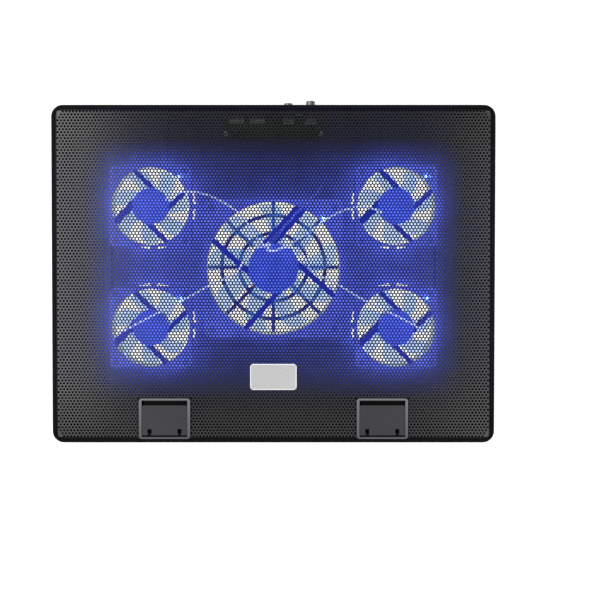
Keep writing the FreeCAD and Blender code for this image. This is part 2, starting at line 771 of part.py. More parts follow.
def base_ribs(body):
    half = dim.rib_width / 2
    left, right, front, rear = dim.rib_left, dim.rib_right, dim.rib_front, dim.rib_rear
    outline = sketch(body, floor_top)
    round_rect(outline, left - half, right + half, front - half, rear + half, dim.rib_corner)
    round_rect(
        outline,
        left + half,
        right - half,
        front + half,
        rear - half,
        dim.rib_corner - dim.rib_width,
    )
    pad(body, outline, dim.rib_low - floor_top)
    side_rib, rear, front = dim.inner_side, dim.inner_rear, dim.inner_front
    outline = sketch(body, floor_top)
    for _, side in SIDES:
        middle = side_rib * side
        rect(outline, middle - half, middle + half, front, rear + half)
    pad(body, outline, dim.rib_top - floor_top)
    outline = sketch(body, floor_top)
    rect(outline, -side_rib - half, side_rib + half, rear - half, rear + half)
    rect(outline, -dim.front_rib_half, dim.front_rib_half, front - half, front + half)
    pad(body, outline, dim.rib_top - floor_top)


def base_bosses(body):
    for radius, spots, top in (
        (dim.boss_diameter / 2, CASE, dim.seam_height),
        (dim.boss_diameter / 2, FAN_SCREWS, dim.fan_seat),
        (dim.board_boss / 2, BOARD_SCREWS, board_low),
    ):
        outline = sketch(body, floor_top)
        circles(outline, radius, spots)
        pad(body, outline, top - floor_top)


def base_leg_wells(body):
    well_half = dim.leg_width / 2 + dim.leg_well_gap
    block_half = well_half + dim.leg_block_side
    for _, side in SIDES:
        middle = dim.leg_across * side
        outline = sketch(body, dim.foot_height)
        rect(
            outline,
            middle - block_half,
            middle + block_half,
            dim.leg_front - dim.leg_block_front,
            inner_y + dim.leg_block_bury,
        )
        pad(body, outline, dim.leg_block_top - dim.foot_height)
    for _, side in SIDES:
        middle = dim.leg_across * side
        outline = sketch(body, below_base)
        rect(
            outline,
            middle - well_half,
            middle + well_half,
            dim.leg_front - dim.leg_well_front,
            dim.leg_axis + dim.leg_well_rear,
        )
        pocket(body, outline, dim.leg_roof - dim.foot_height + OVER)
        # finger notch at the free end of the leg
        outline = sketch(body, below_base)
        circle(outline, dim.leg_notch_radius, middle, dim.leg_front - dim.leg_notch_ahead)
        pocket(body, outline, dim.leg_notch_deep + OVER)


def base_holes(body):
    # case screws, from below
    head_top = dim.case_head_sink + dim.case_head_thick
    for radius, length in (
        (dim.case_hole / 2, dim.seam_height),
        (dim.case_head / 2 + dim.case_head_gap, head_top + OVER),
    ):
        outline = sketch(body, below_base)
        circles(outline, radius, CASE)
        pocket(body, outline, length)
    # pilot holes of the fan and board screws, from above
    lift = 0.1
    outline = sketch(body, dim.fan_seat + lift)
    circles(outline, dim.screw_shank / 2, FAN_SCREWS)
    pocket(body, outline, dim.pilot_deep + lift, up=False)
    outline = sketch(body, dim.board_top)
    circles(outline, dim.board_shank / 2, BOARD_SCREWS)
    pocket(body, outline, dim.board_thick + dim.board_reach, up=False)
    # foot recesses
    outline = sketch(body, below_base)
    circles(outline, dim.foot_size / 2, FEET)
    pocket(body, outline, dim.foot_sink + OVER)


def base_rear_openings(body):
    # drawn on the XZ plane, whose normal points to the front, -Y
    outline = sketch(body, -(inner_y - OVER), "XZ_Plane")
    usb_half = dim.usb_width / 2 + dim.usb_gap
    for x in USB_ACROSS:
        rect(
            outline,
            x - usb_half,
            x + usb_half,
            dim.board_top - dim.usb_gap,
            dim.board_top + dim.usb_height + dim.usb_gap,
        )
    half_width = dim.button_width / 2 + dim.button_gap
    half_height = dim.button_height / 2 + dim.button_gap
    rect(
        outline,
        dim.button_across - half_width,
        dim.button_across + half_width,
        dim.control_up - half_height,
        dim.control_up + half_height,
    )
    for _, x, size, _ in KNOBS:
        circle(outline, size / 2 + dim.knob_gap, x, dim.control_up)
    circle(outline, dim.lens_size / 2 + dim.lens_gap, dim.lens_across, dim.control_up)
    pocket(body, outline, dim.wall_thick + 2 * OVER, up=False)


def base_shell():
    body = new_body("BaseShell")
    base_tray(body)
    base_intakes(body)
    base_ribs(body)
    base_bosses(body)
    base_leg_wells(body)
    base_holes(body)
    base_rear_openings(body)
    past = dim.leg_pin_hole_past
    for _, side in SIDES:
        start = dim.leg_across * side - dim.leg_width / 2 - past
        length = dim.leg_width + 2 * past
        bore_along_x(body, start, length, dim.leg_pin / 2, dim.leg_axis, dim.leg_axis_up)
    keep(body, "base_shell")


# ================================================================ top frame and panel


def frame_bosses(body):
    """Screw bosses with webs to the wall, and their pilot holes."""
    outline = sketch(body, dim.seam_height)
    circles(outline, dim.boss_diameter / 2, CASE)
    pad(body, outline, ledge_top - dim.seam_height)
    outline = sketch(body, dim.seam_height)
    half, start = dim.web_half, dim.web_start
    wall_x, wall_y = inner_x + dim.web_bury, inner_y + dim.web_bury
    for x, y in CORNER_CASE + SIDE_CASE:
        ends = (-wall_x, x - start) if x.value < 0 else (x + start, wall_x)
        rect(outline, *ends, y - half, y + half)
    for x, y in END_CASE:
        ends = (-wall_y, y - start) if y.value < 0 else (y + start, wall_y)
        rect(outline, x - half, x + half, *ends)
    pad(body, outline, ledge_low - dim.seam_height)
    outline = sketch(body, dim.seam_height - OVER)
    circles(outline, dim.case_shank / 2, CASE)
    pocket(body, outline, dim.case_pilot + OVER)


def top_frame():
    body = new_body("TopFrame")
    outline = sketch(body, dim.seam_height)
    round_rect(outline, -half_x, half_x, -half_y, half_y, dim.corner_radius)
    pad(body, outline, dim.top_height - dim.seam_height)
    fillet(body, lies_at("Z", dim.top_height), dim.edge_round)
    # recess of the panel, hollow below the ledge, opening inside the ledge
    outline = sketch(body, ledge_top)
    round_rect(outline, -rim_x, rim_x, -rim_y, rim_y, dim.corner_radius - dim.rim_width)
    pocket(body, outline, dim.top_height - ledge_top + OVER)
    outline = sketch(body, dim.seam_height - OVER)
    round_rect(outline, -inner_x, inner_x, -inner_y, inner_y, inner_round)
    pocket(body, outline, ledge_low - dim.seam_height + OVER)
    outline = sketch(body, ledge_low - OVER)
    round_rect(outline, -ledge_x, ledge_x, -ledge_y, ledge_y, dim.ledge_round)
    pocket(body, outline, dim.ledge_thick + 2 * OVER)
    frame_bosses(body)
    # stopper tray notches in the ledge
    outline = sketch(body, ledge_low - OVER)
    for _, side in SIDES:
        middle = dim.stopper_across * side
        front, rear = -half_y + dim.notch_front, -ledge_y + OVER
        rect(outline, middle - notch_half, middle + notch_half, front, rear)
    pocket(body, outline, dim.ledge_thick + 2 * OVER)
    keep(body, "top_frame")


def steel_panel():
    """Panel with front notches for the stopper trays and two badge holes."""
    body = new_body("Panel")
    outline = sketch(body, ledge_top)
    x, y = rim_x - dim.panel_gap, rim_y - dim.panel_gap
    radius = dim.corner_radius - dim.rim_width - dim.panel_gap
    round_rect(outline, -x, x, -y, y, radius)
    pad(body, outline, dim.panel_thick)
    outline = sketch(body, ledge_top - OVER)
    rear = dim.bezel_rear - dim.tray_inset + dim.tray_gap
    for _, side in SIDES:
        middle = dim.stopper_across * side
        rect(outline, middle - notch_half, middle + notch_half, -y - OVER, rear)
    hole = dim.badge_pin / 2 + dim.badge_pin_gap
    for _, side in SIDES:
        circle(outline, hole, dim.badge_pin_across * side, dim.badge_ahead)
    pocket(body, outline, dim.panel_thick + 2 * OVER)
    keep(body, "mesh_panel")


def badge():
    """Thin plate with two pins through the panel."""
    body = new_body("Badge")
    x, y = dim.badge_width / 2, dim.badge_depth / 2
    outline = sketch(body, panel_top)
    round_rect(outline, -x, x, dim.badge_ahead - y, dim.badge_ahead + y, dim.badge_round)
    pad(body, outline, dim.badge_thick)
    fillet(body, lies_at("Z", panel_top + dim.badge_thick), dim.badge_edge)
    outline = sketch(body, panel_top)
    for _, side in SIDES:
        circle(outline, dim.badge_pin / 2, dim.badge_pin_across * side, dim.badge_ahead)
    pad(body, outline, dim.panel_thick + dim.badge_pin_past, down=True)
    keep(body, "badge")


# ================================================================ stoppers


def stopper_bezel(name, side):
    """Flange on the panel and a tray below it, with two hinge lugs."""
    body = new_body("Bezel")
    half = dim.bezel_width / 2
    outline = sketch(body, panel_top)
    round_rect(outline, -half, half, dim.bezel_front, dim.bezel_rear, dim.bezel_round)
    pad(body, outline, dim.flange_top)
    outline = sketch(body, dim.tray_bottom)
    rect(
        outline,
        -half + dim.tray_inset,
        half - dim.tray_inset,
        dim.bezel_front + dim.tray_front_inset,
        dim.bezel_rear - dim.tray_inset,
    )
    pad(body, outline, panel_top - dim.tray_bottom)
    outline = sketch(body, dim.tray_floor)
    rect(outline, -dim.tray_half, dim.tray_half, dim.tray_lip, dim.tray_back)
    pocket(body, outline, panel_top + dim.flange_top - dim.tray_floor + OVER)
    # lug outline, y and z
    front, low = dim.tray_lip - dim.lug_bury, dim.tray_floor - dim.lug_bury
    lug = [
        (front, low),
        (dim.flap_axis + 2.2, low),
        (dim.flap_axis + 1.5, dim.flap_axis_up + 1.2),
        (dim.flap_axis - 1.2, dim.flap_axis_up + 1.4),
        (front, dim.flap_axis_up + 1.4),
    ]
    for _, hand in SIDES:
        start = dim.flap_slot_across * hand - dim.lug_width / 2
        outline = sketch(body, start, "YZ_Plane")
        polygon(outline, lug)
        pad(body, outline, dim.lug_width)
    radius = dim.stopper_pin / 2
    bore_along_x(body, -half, dim.bezel_width, radius, dim.flap_axis, dim.flap_axis_up)
    place(body, dim.stopper_across * side)
    keep(body, "stopper_bezel_" + name)


def hinged_plate(name, width, y0, y1, low, thick, axis, axis_up):
    """A plate from y0 to y1 with a round edge about the hinge axis."""
    body = new_body(name)
    outline = sketch(body, -width / 2, "YZ_Plane")
    rect(outline, y0, y1, low, low + thick)
    pad(body, outline, width)
    outline = sketch(body, -width / 2, "YZ_Plane")
    circle(outline, thick / 2, axis, axis_up)
    pad(body, outline, width)
    return body


def flap_free_corner(edge):
    """Upright straight edge at the free end of the flap."""
    if not isinstance(edge.Curve, Part.Line) or abs(edge.Curve.Direction.z) <= 0.999:
        return False
    return abs(edge.BoundBox.YMax - dim.flap_rear.value) < 1e-3


def stopper_flap(name, side):
    """Plate with a rounded hinge edge and two slots for the lugs."""
    width, axis, up = dim.flap_width, dim.flap_axis, dim.flap_axis_up
    low = dim.flap_top - dim.flap_thick
    body = hinged_plate("Flap", width, axis, dim.flap_rear, low, dim.flap_thick, axis, up)
    outline = sketch(body, low - OVER)
    half = dim.flap_slot_width / 2
    for _, hand in SIDES:
        middle = dim.flap_slot_across * hand
        front = axis - dim.flap_slot_ahead
        rear = axis + dim.flap_slot_deep - dim.flap_thick / 2
        rect(outline, middle - half, middle + half, front, rear)
    pocket(body, outline, dim.flap_thick + 2 * OVER)
    radius = dim.stopper_pin / 2 + dim.stopper_pin_gap
    bore_along_x(body, -width / 2 - OVER, width + 2 * OVER, radius, axis, up)
    fillet(body, flap_free_corner, dim.flap_round)
    place(body, dim.stopper_across * side)
    keep(body, "stopper_flap_" + name)


def stopper_hinge_pins():
    inset = dim.tray_inset + dim.stopper_pin_inset
    pins = [
        rod(
            dim.stopper_pin / 2,
            dim.bezel_width - 2 * inset,
            dim.stopper_across * side - dim.bezel_width / 2 + inset,
            dim.flap_axis,
            dim.flap_axis_up,
            ALONG_X,
        )
        for _, side in SIDES
    ]
    keep(group(pins), "stopper_hinge_pins")


# ================================================================ fans


def frame_struts(body, fan):
    """Motor disc and its four tangential struts."""
    outline = sketch(body, disc_z)
    circle(outline, fan.disc / 2)
    pad(body, outline, dim.strut_thick)
    reach = math.sqrt((fan.bore.value / 2) ** 2 - fan.offset.value**2)
    for i in range(4):
        width = fan.wide if i == fan.lead_strut.value else fan.strut
        outline = sketch(body, disc_z)
        bar(
            outline,
            fan.turn.value + 90 * i,
            dim.strut_root,
            reach + dim.strut_bury,
            width,
            offset=fan.offset * fan.hand,
        )
        pad(body, outline, dim.strut_thick)


def bearing_post(body):
    """Hollow post below the motor disc."""
    outline = sketch(body, dim.fan_thick - dim.post_drop)
    circle(outline, dim.post_diameter / 2)
    pad(body, outline, dim.post_drop - dim.strut_thick + dim.post_bury)
    start = dim.post_drop + OVER
    outline = sketch(body, dim.fan_thick - start)
    circle(outline, dim.sleeve_diameter / 2)
    pocket(body, outline, start - dim.strut_thick)


def light_holes(body, fan):
    """Holes through the duct at the four corners."""
    start = fan.bore.value / 2 - dim.led_hole_start.value
    for angle in (45, 135, 225, 315):
        hole = body.newObject("PartDesign::SubtractiveCylinder", "Light")
        bind(hole, "Radius", dim.led_diameter / 2 + dim.led_gap)
        bind(hole, "Height", dim.led_hole_length)
        turn = math.radians(angle)
        x, y = start * math.cos(turn), start * math.sin(turn)
        place(hole, x, y, dim.fan_thick.value / 2, outward(angle))


def fan_frame(label, x, y, fan):
    body = new_body("FanFrame")
    half = fan.size / 2
    outline = sketch(body)
    round_rect(outline, -half, half, -half, half, fan.round)
    pad(body, outline, dim.fan_thick)
    outline = sketch(body, -OVER)
    circle(outline, fan.bore / 2)
    pocket(body, outline, dim.fan_thick + 2 * OVER)
    # the corners are open between the two flanges, round the duct
    outline = sketch(body, dim.flange_thick)
    rect(outline, -half - OVER, half + OVER, -half - OVER, half + OVER)
    circle(outline, half - dim.duct_inset)
    pocket(body, outline, dim.fan_thick - 2 * dim.flange_thick)
    outline = sketch(body, -OVER)
    circles(outline, dim.screw_hole / 2, fan_screw_spots(ZERO, ZERO, fan))
    pocket(body, outline, dim.fan_thick + 2 * OVER)
    frame_struts(body, fan)
    bearing_post(body)
    light_holes(body, fan)
    place(body, x, y, dim.fan_seat)
    keep(body, "fan_frame_" + label)


def impeller(label, x, y, fan):
    body = new_body("Impeller")
    hub, bottom = fan.hub / 2, dim.hub_bottom
    outline = sketch(body, bottom)
    circle(outline, hub)
    pad(body, outline, dim.hub_depth)
    outline = sketch(body, bottom + dim.hub_end)
    circle(outline, hub - dim.hub_skirt)
    pocket(body, outline, dim.hub_depth)
    # socket for the shaft
    outline = sketch(body, bottom)
    circle(outline, dim.socket_diameter / 2)
    pad(body, outline, dim.hub_end + dim.socket_rise)
    outline = sketch(body, bottom + dim.shaft_floor)
    circle(outline, dim.shaft_diameter / 2)
    pocket(body, outline, dim.hub_depth)
    # one pitched blade, drawn across X and padded outwards, then repeated round the hub
    outline = sketch(body, hub - dim.blade_root, "YZ_Plane")
    lean, half = fan.lean, dim.blade_thick / 2
    low, high = bottom + dim.blade_inset, bottom + dim.hub_depth - dim.blade_inset
    polygon(
        outline,
        [(-lean - half, low), (-lean + half, low), (lean + half, high), (lean - half, high)],
    )
    tip = fan.bore / 2 - dim.blade_gap
    end = math.sqrt(tip.value**2 - (lean + dim.blade_spare).value ** 2)
    blade = pad(body, outline, end - hub.value + dim.blade_root.value)
    # this sketch's normal is the axis of the pattern
    axis_sketch = sketch(body)
    circle(axis_sketch, 1)
    doc.recompute()
    pattern = body.newObject("PartDesign::PolarPattern", "Polar")
    pattern.Originals = [blade]
    pattern.Axis = (axis_sketch, ["N_Axis"])
    pattern.Angle = 360
    pattern.Occurrences = int(fan.blades.value)
    body.Tip = pattern
    place(body, x, y, dim.fan_seat)
    keep(body, "impeller_" + label)


def rotor_shaft(label, x, y):
    """Shaft seated in the hub and running in the sleeve."""
    low = dim.hub_bottom + dim.shaft_floor
    length = disc_z - low - dim.shaft_end_gap
    shaft = rod(dim.shaft_diameter / 2, length, x, y, dim.fan_seat + low)
    keep(shaft, "rotor_shaft_" + label)


def magnet_inner(fan):
    return fan.hub / 2 - dim.hub_skirt - dim.magnet_thick


def magnet_ring(label, x, y, fan):
    low = dim.fan_seat + dim.hub_bottom + dim.hub_end + dim.magnet_rise
    outside = rod(fan.hub / 2 - dim.hub_skirt, dim.magnet_length, x, y, low)
    ring = bored(outside, magnet_inner(fan), dim.magnet_length, x, y, low)
    keep(ring, "magnet_ring_" + label)


def bearing_sleeve(x, y):
    low = dim.fan_seat + dim.fan_thick - dim.sleeve_drop
    length = dim.sleeve_drop - dim.strut_thick
    outside = rod(dim.sleeve_diameter / 2, length, x, y, low)
    return bored(outside, dim.shaft_diameter / 2 + dim.bearing_gap, length, x, y, low)


stator_z = dim.fan_seat + dim.stator_low
post_radius = dim.post_diameter / 2


def stator(x, y, fan):
    """Ring on the post with four poles."""
    pole_end = magnet_inner(fan) - dim.stator_gap - dim.pole_inset
    half, top = dim.pole_half, stator_z + dim.stator_thick
    core = fuse(
        [
            rod(post_radius + dim.stator_ring, dim.stator_thick, x, y, stator_z),
            box(x - pole_end, x + pole_end, y - half, y + half, stator_z, top),
            box(x - half, x + half, y - pole_end, y + pole_end, stator_z, top),
        ]
    )
    return bored(core, post_radius, dim.stator_thick, x, y, stator_z)


def pole_box(x, y, way, start, end, half, low, high):
    """A box from start to end along one of the four ways from x, y."""
    along_x, along_y = way
    if along_x + along_y < 0:
        start, end = -end, -start
    if along_x:
        return box(x + start, x + end, y - half, y + half, low, high)
    return box(x - half, x + half, y + start, y + end, low, high)


def fan_coils(x, y, fan):
    """A coil round each pole."""
    start = post_radius + dim.coil_start
    end = magnet_inner(fan) - dim.stator_gap - dim.coil_inset
    top = stator_z + dim.stator_thick
    low, high = stator_z - dim.coil_below, top + dim.coil_above
    coils = []
    for way in ((1, 0), (-1, 0), (0, 1), (0, -1)):
        outside = pole_box(x, y, way, start, end, dim.coil_half, low, high)
        inside = pole_box(
            x, y, way, start - OVER, end + OVER, dim.pole_half, stator_z, top
        )
        coils.append(cut(outside, inside))
    return coils


def circuit_board(x, y, fan):
    thick = dim.circuit_thick
    low = dim.fan_seat + disc_z - dim.circuit_gap - thick
    disc = rod(magnet_inner(fan) - dim.circuit_inset, thick, x, y, low)
    return bored(disc, post_radius, thick, x, y, low)


def fan_lights(x, y, fan):
    start = fan.bore / 2 + dim.led_start
    z = dim.fan_seat + dim.fan_thick / 2
    lights = []
    for angle in (45, 135, 225, 315):
        turn = math.radians(angle)
        light_x, light_y = x + start * math.cos(turn), y + start * math.sin(turn)
        light = rod(dim.led_diameter / 2, dim.led_length, light_x, light_y, z, outward(angle))
        lights.append(light)
    return lights


def fan_screw(x, y):
    """Head on the top flange, shank down into the floor boss."""
    top, reach = dim.fan_seat + dim.fan_thick, dim.screw_reach
    head = rod(dim.screw_head / 2, dim.screw_head_thick, x, y, top)
    shank = rod(dim.screw_shank / 2, dim.fan_thick + reach, x, y, dim.fan_seat - reach)
    recess = cross(x, y, top + dim.screw_recess, top + dim.screw_head_thick + OVER)
    return cut(fuse([head, shank]), recess)


def all_fans():
    for fan in FANS:
        fan_frame(*fan)
    for fan in FANS:
        impeller(*fan)
    for label, x, y, fan in FANS:
        rotor_shaft(label, x, y)
        magnet_ring(label, x, y, fan)
    spots = [place_and_sizes[1:] for place_and_sizes in FANS]
    keep(group([bearing_sleeve(x, y) for x, y, _ in spots]), "bearing_sleeves")
    keep(group([stator(*spot) for spot in spots]), "fan_stators")
    keep(group([coil for spot in spots for coil in fan_coils(*spot)]), "fan_coils")
    keep(group([circuit_board(*spot) for spot in spots]), "fan_circuit_boards")
    keep(group([light for spot in spots for light in fan_lights(*spot)]), "fan_leds")
    keep(group([fan_screw(x, y) for x, y in FAN_SCREWS]), "fan_screws")


def case_screw(x, y):
    """From below into a boss of the top frame."""
    low = dim.foot_height + dim.case_head_sink
    head = rod(dim.case_head / 2, dim.case_head_thick, x, y, low)
    length = dim.seam_height + dim.case_reach - low
    shank = rod(dim.case_shank / 2, length, x, y, low)
    return cut(fuse([head, shank]), cross(x, y, low - OVER, low + dim.case_recess))


# ================================================================ rear controls


def control_board():
    body = new_body("ControlBoard")
    outline = sketch(body, board_low)
    rect(outline, -dim.board_half, dim.board_half, dim.board_front, dim.board_rear)
    circles(outline, dim.board_hole / 2, BOARD_SCREWS)
    pad(body, outline, dim.board_thick)
    keep(body, "control_board")


def board_screw(x, y):
    top, reach = dim.board_top, dim.board_reach
    head = rod(dim.board_head / 2, dim.board_head_thick, x, y, top)
    shank = rod(dim.board_shank / 2, dim.board_thick + reach, x, y, board_low - reach)
    long, thin = dim.board_slot_half, dim.board_slot_half_width
    low, high = top + dim.board_slot_up, top + dim.board_head_thick + OVER
    slot = box(x - long, x + long, y - thin, y + thin, low, high)
    return cut(fuse([head, shank]), slot)


usb_rear = dim.usb_front - dim.usb_length  # closed end, inside the body
usb_top = dim.board_top + dim.usb_height


def usb_inside(x, end):
    """Block filling the socket shell's inside from its closed end to y = end."""
    half, wall = dim.usb_width / 2 - dim.usb_wall, dim.usb_wall
    low, high = dim.board_top + wall, usb_top - wall
    return box(x - half, x + half, usb_rear + wall, end, low, high)


def usb_shell(x):
    half = dim.usb_width / 2
    outside = box(x - half, x + half, usb_rear, dim.usb_front, dim.board_top, usb_top)
    return cut(outside, usb_inside(x, dim.usb_front + OVER))


def usb_tongue(x):
    """Tongue with the block behind it."""
    inner_top = usb_top - dim.usb_wall
    tongue = box(
        x - dim.tongue_half,
        x + dim.tongue_half,
        dim.usb_front - dim.tongue_root,
        dim.usb_front - dim.tongue_tip,
        inner_top - dim.tongue_low,
        inner_top - dim.tongue_high,
    )
    return fuse([usb_inside(x, dim.usb_front - dim.usb_depth), tongue])


def speed_control(x):
    half, base, up = dim.pot_half, dim.board_top, dim.control_up
    case = box(x - half, x + half, dim.pot_front, dim.pot_rear, base, base + dim.pot_height)
    nose = rod(dim.nose_radius, dim.nose_length, x, dim.pot_rear, up, ALONG_Y)
    radius = dim.control_shaft / 2 + dim.pot_hole_gap
    hole = rod(radius, dim.pot_hole_length, x, dim.pot_hole_start, up, ALONG_Y)
    return cut(fuse([case, nose]), hole)


def light_switch():
    x, half, base = dim.button_across, dim.switch_half, dim.board_top
    top = base + dim.switch_height
    case = box(x - half, x + half, dim.switch_front, dim.switch_rear, base, top)
    radius = dim.stem_radius + dim.stem_gap
    hole = rod(radius, dim.stem_length, x, dim.switch_hole_start, dim.control_up, ALONG_Y)
    keep(cut(case, hole), "light_switch")


def power_indicator():
    """Round part with a domed tip, on a block."""
    x, up, radius, half = dim.lens_across, dim.control_up, dim.lens_size / 2, dim.lens_foot_half
    front, rear = dim.lens_foot_front, dim.lens_foot_rear
    length = dim.lens_end - dim.lens_start - radius + dim.lens_lap
    stem = rod(radius, length, x, dim.lens_start, up, ALONG_Y)
    foot = box(x - half, x + half, front, rear, dim.board_top, up + dim.lens_foot_top)
    dome = doc.addObject("Part::Sphere", "Dome")
    bind(dome, "Radius", radius)
    place(dome, x, dim.lens_end - radius, up)
    keep(fuse([fuse([stem, foot]), dome]), "power_indicator")


# round parts on the board: x, y, radius, height
BOARD_RODS = [(-34, 124.5, 3.2, 7.5), (-27, 124.5, 2.5, 6.5)]
# square parts on the board: x0, x1, y0, y1, height
BOARD_BLOCKS = [
    (-22, -15, 121.5, 126, 1.6),
    (-9, -4, 121.5, 126.5, 1.4),
    (2, 8, 121, 127, 3.0),
    (13, 14.6, 122, 125.2, 0.8),
    (17, 18.6, 122, 125.2, 0.8),
]
# lead header and plug: half width, y0, y1, bottom and top above the board
HEADER = (4, 121, 127, 0, 6)
HEADER_INSIDE = (3.3, 120, 126.2, 0.8, 5.2)
PLUG = (3.2, 117.5, 126.0, 0.9, 5.1)


def board_components():
    top = dim.board_top
    parts = [rod(radius, height, x, y, top) for x, y, radius, height in BOARD_RODS]
    parts += [box(*sides, top, top + height) for *sides, height in BOARD_BLOCKS]
    keep(group(parts), "board_components")


def header_box(half, y0, y1, low, high):
    x, top = dim.header_across, dim.board_top
    return box(x - half, x + half, y0, y1, top + low, top + high)


def knob(label, x, size, end):
    # drawn on the XZ plane: its normal points to -Y
    body = new_body("Knob")
    inner = dim.knob_inner
    outline = sketch(body, -inner, "XZ_Plane")
    circle(outline, size / 2)
    pad(body, outline, end - inner, down=True)
    dress(body, "Chamfer", "Size", lies_at("Y", end), dim.knob_edge)
    outline = sketch(body, -inner + OVER, "XZ_Plane")
    circle(outline, dim.control_shaft / 2)
    pocket(body, outline, dim.knob_socket + OVER, up=False)
    # grip grooves round the rim
    outline = sketch(body, -inner - dim.groove_start, "XZ_Plane")
    ring = size / 2 + dim.groove_out
    for i in range(12):
        turn = math.radians(30 * i)
        circle(outline, dim.groove_radius, ring * math.cos(turn), ring * math.sin(turn))
    pocket(body, outline, end - inner, up=False)
    place(body, x, 0, dim.control_up)
    keep(body, "knob_" + label)


def knob_shaft(label, x):
    start, length = dim.shaft_start, dim.knob_inner + dim.knob_socket - dim.shaft_start
    shaft = rod(dim.control_shaft / 2, length, x, start, dim.control_up, ALONG_Y)
    keep(shaft, "knob_shaft_" + label)


def light_button():
    x, up = dim.button_across, dim.control_up
    half_width, half_height = dim.button_width / 2, dim.button_height / 2
    inner, low, high = dim.button_inner, up - half_height, up + half_height
    cap = box(x - half_width, x + half_width, inner, dim.button_end, low, high)
    stem = rod(dim.stem_radius, dim.stem_length, x, inner - dim.stem_out, up, ALONG_Y)
    keep(fuse([cap, stem]), "light_button")


def rear_controls():
    control_board()
    keep(group([board_screw(x, y) for x, y in BOARD_SCREWS]), "board_screws")
    keep(group([usb_shell(x) for x in USB_ACROSS]), "usb_socket_shells")
    keep(group([usb_tongue(x) for x in USB_ACROSS]), "usb_socket_tongues")
    keep(group([speed_control(x) for _, x, _, _ in KNOBS]), "speed_controls")
    light_switch()
    power_indicator()
    board_components()
    keep(cut(header_box(*HEADER), header_box(*HEADER_INSIDE)), "lead_header")
    keep(header_box(*PLUG), "lead_plug")
    for label, x, size, end in KNOBS:
        knob(label, x, size, end)
        knob_shaft(label, x)
    light_button()


# ================================================================ leads

CORNER_LEAD_RADIUS = 0.85
MAIN_LEAD_RADIUS = 1.1
LEAD_Z = (dim.fan_seat + dim.fan_thick).value + 1.1  # leads lying on the fans
# The splice sleeve lies on the wide strut of the centre fan.
SPLICE_X, SPLICE_Y, SPLICE_Z = -3.2, 26.8, LEAD_Z + 1.3
END_GAP = 0.25  # lead end to sleeve end
LEAD_IN = 2.4  # corner leads run straight from here to the sleeve

# Each corner lead lies on its fan and runs to the splice sleeve.
# Place in the sleeve (across, up), then points: x, y, rise above LEAD_Z.
CORNER_LEADS = [
    # front left
    ((1.0, -0.9), [
        (-133.5, -51.5, 0), (-106, -36.8, 0), (-72, -19.4, 0.2), (-45, -5.2, 0.3),
        (-29.6, 3.6, 0), (-25.5, 14.0, 0), (-17.0, 22.4, 0.1), (-10.5, 23.6, 0.1),
        (-7.2, 24.0, 0.2),
    ]),
    # front right
    ((-1.0, -0.9), [
        (133.5, -51.5, 0), (106, -36.0, 0), (72, -19.0, 0.2), (48, -5.2, 0.3),
        (31, 4.6, 0), (27, 14.6, 0), (18, 22.2, 0), (8, 22.6, 0),
        (0, 20.0, 0.1), (-5.0, 21.6, 0.3),
    ]),
    # rear right
    ((-1.0, 0.9), [
        (93, 53.0, 0), (80, 57.6, 0), (64, 56.0, 0.2), (43.5, 45.6, 0.3),
        (23.5, 31.4, 1.0), (12, 25.6, 1.9), (4, 21.4, 2.2), (-3, 19.8, 2.3),
        (-5.6, 21.6, 2.3),
    ]),
    # rear left
    ((1.0, 0.9), [
        (-93, 64.0, 0), (-80, 70.0, 0), (-64, 70.0, 0), (-40, 60.0, 0),
        (-22, 44.0, 0.3), (-15, 32.6, 1.3), (-10.6, 27.4, 2.0), (-7.8, 25.0, 2.2),
    ]),
]
# main lead over the centre fan: x, y, rise above LEAD_Z
MAIN_OVER_FAN = [(11.5, 43.2, 1.0), (24, 57.0, 0.4), (38, 71.0, -0.6)]
# main lead down to the plug: x, y, z
MAIN_TO_PLUG = [
    (45, 84.0, 17.4), (43.5, 96.0, 15.0), (36.5, 106.5, 12.2),
    (30.0, 113.0, 11.1), (29, 117.35, 11.0),
]


def at_splice(across, up, along):
    """A point given from the start of the splice sleeve, in its own directions."""
    turn = math.radians(LARGE.turn.value)
    cos, sin = math.cos(turn), math.sin(turn)
    x = SPLICE_X - sin * across + cos * along
    y = SPLICE_Y + cos * across + sin * along
    return (x, y, SPLICE_Z + up)


def raised(points):
    return [(x, y, LEAD_Z + rise) for x, y, rise in points]


def tube(points, radius):
    """A round lead laid through the points."""
    curve = Part.BSplineCurve()
    curve.interpolate([Vector(*point) for point in points])
    start = curve.value(curve.FirstParameter)
    along = curve.tangent(curve.FirstParameter)[0]
    profile = Part.Wire([Part.makeCircle(radius, start, along)])
    return Part.Wire([curve.toShape()]).makePipeShell([profile], True, True)


def shaped(shape, name):
    feature = doc.addObject("Part::Feature", name)
    feature.Shape = shape
    return feature


def leads():
    turn = outward(LARGE.turn.value)
    length = dim.splice_length
    sleeve = rod(dim.splice_radius, length, SPLICE_X, SPLICE_Y, SPLICE_Z, turn)
    keep(sleeve, "splice_sleeve")
    tubes = []
    for (across, up), points in CORNER_LEADS:
        ends = [at_splice(across, up, -LEAD_IN), at_splice(across, up, -END_GAP)]
        tubes.append(tube(raised(points) + ends, CORNER_LEAD_RADIUS))
    keep(shaped(Part.Compound(tubes), "CornerFanLeads"), "corner_fan_leads")
    starts = [at_splice(0, 0, length.value + gap) for gap in (END_GAP, 3)]
    main = tube(starts + raised(MAIN_OVER_FAN) + MAIN_TO_PLUG, MAIN_LEAD_RADIUS)
    keep(shaped(main, "MainLead"), "main_lead")


# ================================================================ feet and legs

leg_low = dim.leg_axis_up - dim.leg_thick / 2


def rubber_feet():
    height = dim.foot_height + dim.foot_sink
    keep(group([rod(dim.foot_size / 2, height, x, y) for x, y in FEET]), "rubber_feet")


